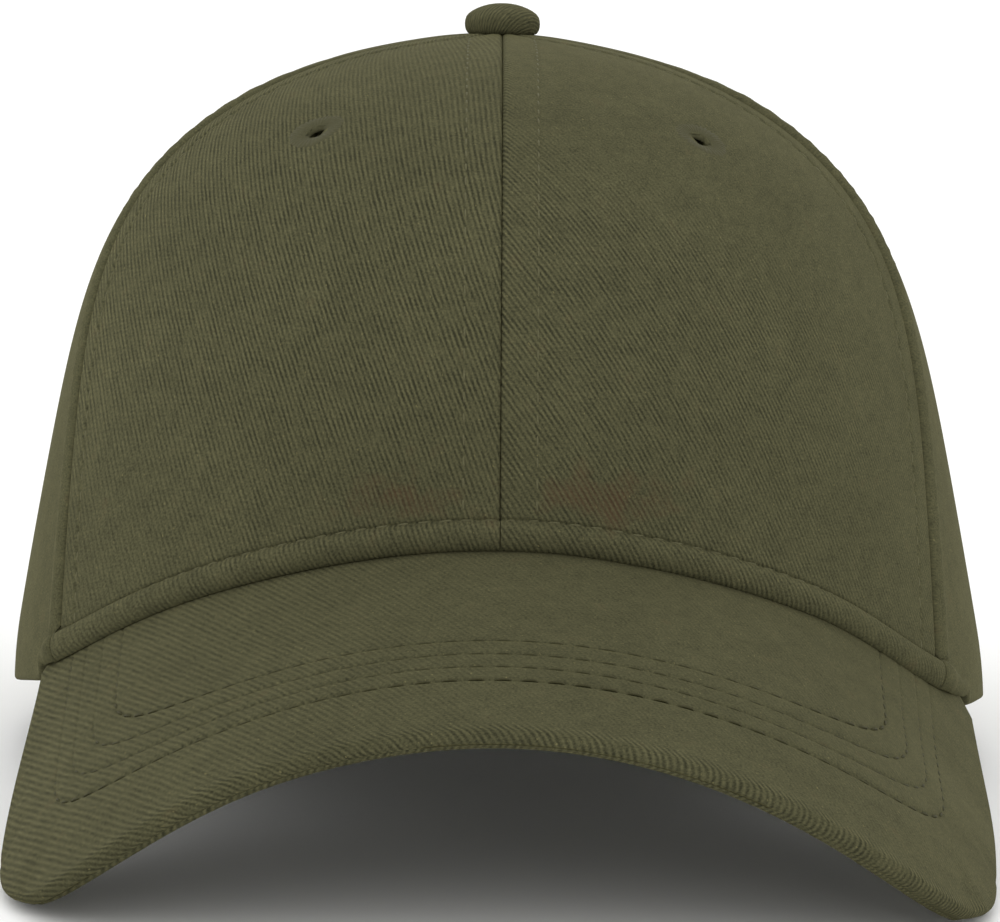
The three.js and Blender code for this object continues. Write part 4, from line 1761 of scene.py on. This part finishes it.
@dataclass
class PeakCover:
    """The covered peak: two faces of twill over a board, rounded at the edge, with four rows of stitching.

    Each row follows a superellipse, (|width| / W)^m + ((length - back) / depth)^m = 1, ahead of its straight
    sides, which run back under the crown.
    """

    row_widths: tuple[float, ...] = (82.0, 78.0, 73.7, 69.2)
    row_fronts: tuple[float, ...] = (52.3, 47.3, 42.2, 36.9)
    row_depth: float = 32.0
    row_power: float = 2.35
    row_room: float = 0.012
    full_end: float = 33.0
    full_span: float = 44.0
    edge_radius: float = 1.1
    under_radius: float = 3.0
    edge_wrap: float = 2.1
    edge_squareness: float = 1.7
    edge_droop: float = 0.9
    left_droop: float = 0.45
    left_droop_at: float = -45.0
    left_droop_reach: float = 20.0
    droop_start: float = 22.0
    droop_fade: float = 20.0
    droop_span: float = 16.0
    floor_share: float = 0.8
    seam_at: float = 0.78
    seam_notch: float = 0.3
    notch_reach: float = 0.35
    edge_rows: int = 11
    columns: int = 240
    crossing_steps: int = 1200
    stitch_dip: float = 0.36
    side_dip: float = 0.12
    stitch_width: float = 0.42
    side_start: float = 14.0
    side_fade: float = 22.0
    quilting: float = 0.2
    quilt_edge: float = 40.0
    quilt_side_loss: float = 0.6
    wave: Wave = Wave(0.12, 19.0, 0.7, 15.0, 1.1)
    edge_nap: float = 0.85
    least_nap: float = 0.14
    left_nap: float = 0.42
    left_nap_start: float = -40.0
    left_nap_fade: float = 50.0
    tip_nap: float = 0.2
    tip_nap_start: float = -90.0
    tip_nap_fade: float = 20.0
    path_steps: int = 400
    side_steps: int = 200
    side_run: float = 60.0
    thread_depth: float = 0.1
    under_thread_share: float = 0.9
    side_sink: float = 0.13
    look_out: float = 0.5
    stitch_tuck: float = 2.0
    grain: Grain = Grain(Slant(0.77, 0.905, -95.0, 80.0), Slant(0.5, 0.5), 0.0015)
    # Shares of the way from the edge to the first stitch row, between two rows, and on to the join.
    first_steps: tuple[float, ...] = (0.07, 0.15, 0.24, 0.34, 0.45, 0.56, 0.67, 0.78, 0.88, 0.94, 0.97, 0.985)
    row_steps: tuple[float, ...] = (0.035, 0.07, 0.14, 0.3, 0.5, 0.7, 0.86, 0.93, 0.965)
    last_steps: tuple[float, ...] = (0.006, 0.012, 0.025, 0.06, 0.11, 0.17, 0.23, 0.3, 0.37, 0.44, 0.51, 0.58,
                                     0.65, 0.72, 0.79, 0.86, 0.93)
    stitching: Stitching = Stitching(pitch=4.2, dash=3.2, thread=0.25, proud=0.0)

    def outside(self, width: Array, length: Array, row: int) -> Array:
        """How far outside a stitch row a place lies: the superellipse's measure less 1, negative inside.

        Args:
            width: The place's width on the plate.
            length: Its length forward of the join.
            row: The stitch row, 0 for the outermost.

        Returns:
            The measure, without a unit.
        """
        back = self.row_fronts[row] - self.row_depth
        side = np.abs(width) / self.row_widths[row]
        ahead = np.maximum(length - back, 0) / self.row_depth
        return (side ** self.row_power + ahead ** self.row_power) ** (1 / self.row_power) - 1

    def on_side(self, length: Array, row: int) -> Array:
        """0 on the front run of a stitch row, easing to 1 on its sides, where the nap hides the thread."""
        return smooth((self.row_fronts[row] - self.side_start - length) / self.side_fade)

    def lines(self) -> tuple[Array, Array, Array]:
        """Lays out the columns of the grid on the flat plate.

        Returns:
            The outer and inner ends of the columns, and each column's side.
        """
        across = np.linspace(-1, 1, self.columns + 1)
        side = np.where(across < 0, -1.0, 1.0)
        outer = PEAK.outline(np.abs(across))
        fuller = PEAK.right_fullness * smooth((self.full_end - outer[:, 1]) / self.full_span)
        outer[:, 0] += np.where(side > 0, fuller, 0)
        tucked = RIM.position(np.array([RIM.right_corner, RIM.left_corner]) - PEAK.tuck_back)
        u = np.where(across < 0, 6 + across * tucked[1], across * tucked[0])
        inside = CROWN.inside(u, RIM.height(u, PEAK.tuck), PEAK.tuck)
        width, length, _, _ = PEAK.under(inside[:, 0], inside[:, 1])
        return outer, np.stack([width * side, length], -1), side

    def crossings(self, outer: Array, inner: Array) -> Pair:
        """Where each column crosses each stitch row, as a share from its outer to its inner end.

        Args:
            outer: The columns' outer ends.
            inner: Their inner ends.

        Returns:
            The shares, (rows, columns), and whether each crossing is really there.
        """
        share = np.linspace(0, 1, self.crossing_steps)
        spot = mix(outer[:, None], inner[:, None], share[None, :, None])
        shares, is_crossed = [], []
        for row in range(len(self.row_widths)):
            measure = self.outside(spot[..., 0], spot[..., 1], row)
            inside = measure < 0
            found = inside.any(1)
            at = np.where(found, inside.argmax(1), len(share) - 1)
            before = np.maximum(at - 1, 0)
            line = np.arange(len(at))
            high, low = measure[line, before], measure[line, at]
            part = np.where(found, high / np.maximum(high - low, 1e-9), 1.0)
            limit = 1 - self.row_room * (len(self.row_widths) - row)
            cross = np.where(found, share[before] + part * (share[1] - share[0]), 1.0)
            is_crossed.append(found & (cross < limit))
            shares.append(np.minimum(cross, limit))
        return np.array(shares), np.array(is_crossed)

    def grid(self) -> PeakGrid:
        """Lays out the columns and finds where they cross the stitch rows.

        Returns:
            The grid.
        """
        outer, inner, side = self.lines()
        walls = np.linalg.norm(outer - inner, axis=1)
        return PeakGrid(outer, inner, side, walls, *self.crossings(outer, inner))

    def shares(self, grid: PeakGrid) -> Array:
        """The grid's rows behind its rounded edge, which lie closest together beside each stitch row.

        Args:
            grid: The columns.

        Returns:
            Shares from the outer to the inner end, (rows, columns).
        """
        start = (self.under_radius / grid.span)[None]
        anchors = np.concatenate([start, grid.crossing, np.ones((1, len(grid.span)))])
        runs = [anchors[:1]]
        between_rows = (self.row_steps,) * (len(self.row_widths) - 1)
        for index, steps in enumerate((self.first_steps, *between_rows, self.last_steps)):
            between = mix(anchors[index], anchors[index + 1], np.array(steps)[:, None])
            runs += [between, anchors[index + 1:index + 2]]
        return np.concatenate(runs)

    def droop(self, grid: PeakGrid) -> Array:
        """How far the front edge droops: less on the left, but never below the table on which the tips rest.

        Args:
            grid: The columns.

        Returns:
            The droop of each column's outer end.
        """
        width, length = grid.outer[:, 0] * grid.side, grid.outer[:, 1]
        lowest = REST.placed(PEAK.point(width, length, PEAK.thickness))[:, 2] / MM
        is_left = bell(width - self.left_droop_at, self.left_droop_reach)
        ahead = smooth((length - self.droop_start) / self.droop_fade)
        return np.minimum(lowest * self.floor_share, mix(self.edge_droop, self.left_droop, is_left) * ahead)

    def relief(self, grid: PeakGrid, share: Array, width: Array, length: Array) -> Array:
        """How far the cover stands out: a narrow bell-shaped dip along each row, and quilting between them.

        Args:
            grid: The columns.
            share: How far along its column each point lies.
            width: Each point's width on the plate.
            length: Its length forward of the join.

        Returns:
            Offsets in millimetres, out of either face.
        """
        out = np.zeros(share.shape)
        for row in range(len(self.row_widths)):
            away = (share - grid.crossing[row][:, None]) * grid.span[:, None]
            dip = mix(self.stitch_dip, self.side_dip, self.on_side(length, row))
            out -= np.where(grid.is_crossed[row][:, None], dip * bell(away, self.stitch_width), 0)
        last = len(self.row_widths) - 1
        within = np.clip(1 - self.quilt_edge * self.outside(width, length, last), 0, 1)
        beyond = np.clip(1 + self.quilt_edge * self.outside(width, length, 0), 0, 1)
        side_loss = 1 - self.quilt_side_loss * self.on_side(length, 1)
        out += self.quilting * (1 - within) * (1 - beyond) * side_loss
        return out + self.wave.at(width, length)

    def nap(self, width: Array) -> Array:
        """How clearly the ribs show: most round the edge, and on the faces more towards the left tip.

        Args:
            width: The points' widths on the plate, (columns, rows).

        Returns:
            0 where the ribs are hidden to 1 where they are clearest.
        """
        left = 1 - smooth((width - self.left_nap_start) / self.left_nap_fade)
        tip = 1 - smooth((width - self.tip_nap_start) / self.tip_nap_fade)
        nap = self.least_nap + self.left_nap * left + self.tip_nap * tip
        nap[:, :self.edge_rows - 1] = self.edge_nap
        return nap

    def face(self, grid: PeakGrid, is_top: bool) -> tuple[Array, Array, Array]:
        """Works out one face, from the seam in the edge round to the face and back under the crown.

        Round the edge the depth is thickness * ((1 - sin(turn)) / 2)^squareness and the face is inset by
        radius * (1 - cos(turn)); the seam is a notch that falls off exponentially with the distance from it.

        Args:
            grid: The columns.
            is_top: Whether it is the top face.

        Returns:
            The points, their places on the cloth and how clearly the ribs show.
        """
        sign, radius = (1, self.edge_radius) if is_top else (-1, self.under_radius)
        quarter = sign * np.pi / 2
        seam_turn = math.asin(1 - 2 * self.seam_at)
        turn = np.linspace(seam_turn, quarter, self.edge_rows)[:-1]
        inset = np.where(turn > 0, self.edge_radius, self.under_radius) * (1 - np.cos(turn))
        notch = self.seam_notch * np.exp(-np.abs(turn - seam_turn) * self.under_radius / self.notch_reach)
        below = ((1 - np.sin(turn)) / 2) ** self.edge_squareness
        behind = self.shares(grid)
        share = np.concatenate([(inset + notch)[:, None] / grid.span, behind]).T
        depth_share = np.concatenate([below, np.full(len(behind), 0.0 if is_top else 1.0)])
        spot = mix(grid.outer[:, None], grid.inner[:, None], share[..., None])
        width, length = spot[..., 0] * grid.side[:, None], spot[..., 1]
        thick = mix(PEAK.thickness, PEAK.join_thickness, share)
        out = self.relief(grid, share, width, length)
        droop = (1 - smooth(share * grid.span[:, None] / self.droop_span)) * self.droop(grid)[:, None]
        points = PEAK.point(width, length, thick * depth_share - sign * out + droop)
        # The cloth wraps round the edge, so there its place is the arc from where the face begins.
        signs = np.stack([grid.side, np.ones(len(grid.side))], -1)
        wrap = self.edge_wrap * np.abs(quarter - turn) - radius
        outward = unit(grid.outer - grid.inner) * signs
        edge = (grid.outer * signs)[:, None] + outward[:, None] * wrap[:, None]
        place = np.stack([width, length], -1)
        place[:, :len(turn)] = edge
        return points, self.grain.place(place[..., 0], -place[..., 1]), self.nap(width)

    def stitch_paths(self) -> list[Pair]:
        """The four rows on both faces, from under the crown on one side round to the other.

        Returns:
            Pairs of points and normals.
        """
        paths = []
        turn = np.linspace(0, np.pi / 2, self.path_steps)
        for row in range(len(self.row_widths)):
            back = self.row_fronts[row] - self.row_depth
            width = self.row_widths[row] * np.sin(turn) ** (2 / self.row_power)
            length = back + self.row_depth * np.cos(turn) ** (2 / self.row_power)
            side_run = np.linspace(back, back - self.side_run, self.side_steps)[1:]
            width = np.concatenate([width, np.full(side_run.shape, self.row_widths[row])])
            length = np.concatenate([length, side_run])
            shown = self.clear_of_crown(PEAK.point(width, length, 0 * width))
            width, length = width[shown], length[shown]
            width = np.concatenate([-width[::-1], width[1:]])
            length = np.concatenate([length[::-1], length[1:]])
            for depth, sign in ((self.thread_depth, 1), (PEAK.thickness * self.under_thread_share, -1)):
                deep = depth + sign * self.side_sink * self.on_side(length, row)
                points = PEAK.point(width, length, deep)
                above = PEAK.point(width, length, deep - self.look_out)
                paths.append((points, sign * unit(above - points)))
        return paths

    def clear_of_crown(self, points: Array) -> Array:
        """Finds which points of the peak lie outside the crown's rim, or are only just tucked under it.

        Args:
            points: Points, (n, 3).

        Returns:
            Whether each one does.
        """
        angle = np.arctan2(points[:, 0], -points[:, 1])
        full = np.maximum(CROWN.fullness(angle), 1)
        half = 1 / np.sqrt((np.sin(angle) / CROWN.half_width) ** 2 + (np.cos(angle) / CROWN.front) ** 2)
        return np.hypot(points[:, 0], points[:, 1]) > half * full - self.stitch_tuck

    def build(self, twill: Material, thread: Material) -> None:
        """Builds the covered peak and its stitches.

        Args:
            twill: The cover's finish.
            thread: The stitches' finish.
        """
        grid = self.grid()
        top, top_cloth, nap = self.face(grid, True)
        bottom, bottom_cloth, _ = self.face(grid, False)
        points, faces = walled_sheet(top, bottom)
        cloth = np.stack([top_cloth, bottom_cloth]).reshape(-1, 2)
        fields = {NAP_FIELD: np.tile(nap.ravel(), 2), STAIN_FIELD: np.zeros(len(points))}
        make_piece("peak_cover", points, faces, twill, ("peak",), cloth, fields)
        points, faces = self.stitching.rows(self.stitch_paths())
        make_piece("peak_stitches", points, faces, thread)


# Inside and back


@dataclass
class Band:
    """A plain band inside the rim: the sweatband, or the strap that closes the back opening.

    Its section is a flat oval, wall / 2 * (1 - |2s - 1|^6)^(1/2) to each side of its middle, where s goes up
    the band from 0 to 1.
    """

    name: str
    node: str
    slot: Slot
    low_angle: float
    high_angle: float
    height: float
    wall: float
    columns: int
    rows: int = 26
    gap: float = 0.6
    edge_power: int = 6
    edge_half: float = 0.02
    stitch_inset: float = 2.4
    stitch_dip: float = 0.14
    stitch_width: float = 0.5
    thread_depth: float = 0.12
    stitch_end: float = 1.0
    path_steps: int = 400
    nap: float = 0.8
    stitching: Stitching = Stitching()

    def spots(self, angle: Array) -> Array:
        """The u of angles from the front, which may be negative or past the back."""
        half = RIM.position(np.where(angle > 180, 360 - angle, np.abs(angle)))
        return np.where((angle < 0) | (angle > 180), 6 - half, half)

    def face(self, out: float) -> Pair:
        """One face of the band and its place on the cloth.

        Args:
            out: 1 for the outer face and -1 for the inner one.

        Returns:
            The grid and the cloth places.
        """
        middle = CROWN.wall + self.gap + self.wall / 2
        u = self.spots(np.linspace(self.low_angle, self.high_angle, self.columns + 1))
        low = RIM.height(u, middle - self.wall / 2)
        share = (1 - np.cos(np.linspace(0, np.pi, self.rows + 1))) / 2
        oval = np.sqrt(np.maximum(1 - np.abs(2 * share - 1) ** self.edge_power, 0.0))
        half = self.wall / 2 * oval + self.edge_half
        inset = self.stitch_inset / self.height
        for at in (inset, 1 - inset):
            half = half - self.stitch_dip * bell((share - at) * self.height, self.stitch_width)
        z = low[:, None] + share * self.height
        grid = CROWN.inside(u[:, None] + 0 * z, z, middle - out * half + 0 * z)
        along = lengths_along(grid[:, self.rows // 2])
        return grid, np.stack(np.broadcast_arrays(along[:, None], share * self.height), -1)

    def stitch_paths(self) -> list[Pair]:
        """A row of stitches along both edges, on the outer face and the inner face.

        Returns:
            Pairs of points and normals.
        """
        paths = []
        ends = self.low_angle + self.stitch_end, self.high_angle - self.stitch_end
        u = self.spots(np.linspace(*ends, self.path_steps))
        low = RIM.height(u, CROWN.wall + self.gap)
        for above in (self.stitch_inset, self.height - self.stitch_inset):
            for out in (1, -1):
                depth = CROWN.wall + self.gap + self.wall / 2 - out * (self.wall / 2 - self.thread_depth)
                z = low + above
                paths.append((CROWN.inside(u, z, np.full(u.shape, depth)), out * CROWN.normal(u, z)))
        return paths

    def build(self, twill: Material, thread: Material) -> None:
        """Builds the band and its stitches.

        Args:
            twill: Its finish.
            thread: The stitches' finish.
        """
        outer, cloth = self.face(1)
        inner, _ = self.face(-1)
        points, faces = walled_sheet(outer, inner)
        place = np.tile(cloth.reshape(-1, 2), (2, 1))
        fields = {NAP_FIELD: np.full(len(points), self.nap), STAIN_FIELD: np.zeros(len(points))}
        make_piece(self.name, points, faces, twill, (self.node,), place, fields)
        points, faces = self.stitching.rows(self.stitch_paths())
        make_piece(self.name + "_stitches", points, faces, thread)


# The studio


@dataclass(frozen=True)
class SoftLight:
    """One square soft light: its name, place and side in metres, and power in watts."""

    name: str
    place: tuple[float, float, float]
    size: float
    power: float

    def build(self, aim: tuple[float, float, float]) -> None:
        """Hangs the light.

        Args:
            aim: What it points at, in metres.
        """
        data = bpy.data.lights.new(self.name, "AREA")
        data.shape = "SQUARE"
        data.size = self.size
        data.energy = self.power
        light = bpy.data.objects.new(self.name, data)
        light.location = self.place
        light.rotation_euler = (Vector(aim) - Vector(self.place)).to_track_quat("-Z", "Y").to_euler()
        bpy.context.scene.collection.objects.link(light)


@dataclass
class Studio:
    """A white table under large soft lights, and the camera at the photograph's angle.

    The camera's angles and aim are in the cap's own frame, in degrees and millimetres; the lights, table and
    clip distances are in metres.
    """

    focal_pixels: float = 7992.0
    image_width: int = 1000
    sensor: float = 36.0
    distance: float = 1400.0
    elevation: float = 3.31
    azimuth: float = -0.16
    roll: float = 0.975
    target: tuple[float, float, float] = (-0.535, 0.0, 41.545)
    clip_start: float = 0.05
    clip_end: float = 30.0
    table_size: float = 12.0
    sky: float = 1.22
    light_aim: tuple[float, float, float] = (0.0, 0.0, 0.06)
    lights: tuple[SoftLight, ...] = (
        SoftLight("left_light", place=(-1.5, 0.4, 0.25), size=1.0, power=3.4),
        SoftLight("right_light", place=(1.5, 0.4, 0.25), size=1.0, power=1.2),
        SoftLight("front_light", place=(0.0, -2.0, 0.9), size=1.4, power=1.0),
    )

    def build_camera(self) -> None:
        """Sets the camera from its angle, roll and aim in the cap's own frame."""
        e, a, r = self.elevation * TURN, self.azimuth * TURN, self.roll * TURN
        back = np.array([math.sin(a) * math.cos(e), -math.cos(a) * math.cos(e), math.sin(e)])
        level = np.array([math.cos(a), math.sin(a), 0.0])
        high = np.cross(back, level)
        right = math.cos(r) * level + math.sin(r) * high
        up = -math.sin(r) * level + math.cos(r) * high
        place = (REST.turned(np.array(self.target) + back * self.distance) + np.array(REST.shift)) * MM
        axes = REST.turned(np.stack([right, up, back]))
        data = bpy.data.cameras.new("photo_camera")
        data.sensor_fit = "HORIZONTAL"
        data.sensor_width = self.sensor
        data.lens = self.focal_pixels * self.sensor / self.image_width
        data.clip_start, data.clip_end = self.clip_start, self.clip_end
        camera = bpy.data.objects.new("photo_camera", data)
        bpy.context.scene.collection.objects.link(camera)
        camera.matrix_world = Matrix([[*axes[:, k], place[k]] for k in range(3)] + [[0, 0, 0, 1]])
        bpy.context.scene.camera = camera

    def build_table(self) -> None:
        """Lays the white table under the cap."""
        half = self.table_size / 2
        mesh = bpy.data.meshes.new("table_top")
        corners = [(-half, -half, 0), (half, -half, 0), (half, half, 0), (-half, half, 0)]
        mesh.from_pydata(corners, [], [(0, 1, 2, 3)])
        mesh.materials.append(FloorFinish().material())
        table = bpy.data.objects.new("table_top", mesh)
        bpy.context.scene.collection.objects.link(table)

    def build(self) -> None:
        """Builds the table, lights, sky and camera."""
        self.build_table()
        for light in self.lights:
            light.build(self.light_aim)
        world = bpy.data.worlds.new("white_room")
        world.use_nodes = True
        world.node_tree.nodes.clear()
        ground = add_node(world.node_tree, "Background", {0: (1.0, 1.0, 1.0, 1.0), 1: self.sky})
        add_node(world.node_tree, "OutputWorld", {0: ground.outputs[0]})
        scene = bpy.context.scene
        scene.world = world
        scene.view_settings.view_transform = "Standard"
        self.build_camera()


def main() -> None:
    """Builds the cap and the studio."""
    logging.basicConfig(level=logging.INFO, format="%(message)s")
    crown_twill = TwillFinish("brushed_crown_twill").material()
    # Painted shade: the peak's twill is the crown's twill with a darker crest, which dims the up-facing peak
    # to the crown's brightness.
    peak_twill = TwillFinish("painted_shade_peak_twill_copy", crest="5b5940").material()
    band_twill = TwillFinish("smooth_band_twill", crest="615e46", valley="4a4833", rib_pitch=0.6).material()
    crown_thread = ThreadFinish("crown_sewing_thread", light="66644a", dark="4a4832").material()
    # The peak's thread is a dark olive, drawn darker still than the cloth to paint the shade of the sunken
    # dips its stitches lie in.
    peak_shaded_thread = ThreadFinish("dark_peak_stitch_thread_painted_shade", light="413f27", dark="31301e").material()
    eyelet_thread = ThreadFinish("eyelet_embroidery_thread", light="504e37", dark="3e3d29").material()

    eyelets = Eyelets()
    CrownPanels().build(crown_twill, crown_thread, eyelets)
    eyelets.build(eyelet_thread)
    Button().build(crown_twill)
    PeakCover().build(peak_twill, peak_shaded_thread)
    Band("sweatband_lining", "sweatband", Slot.BAND,
         low_angle=-142, high_angle=142, height=30, wall=1.2, columns=220).build(band_twill, crown_thread)
    Band("back_strap_cloth", "back_strap", Slot.CROWN,
         low_angle=143.5, high_angle=216.5, height=22, wall=2.0, columns=80).build(crown_twill, crown_thread)
    Studio().build()


if __name__ == "__main__":
    main()
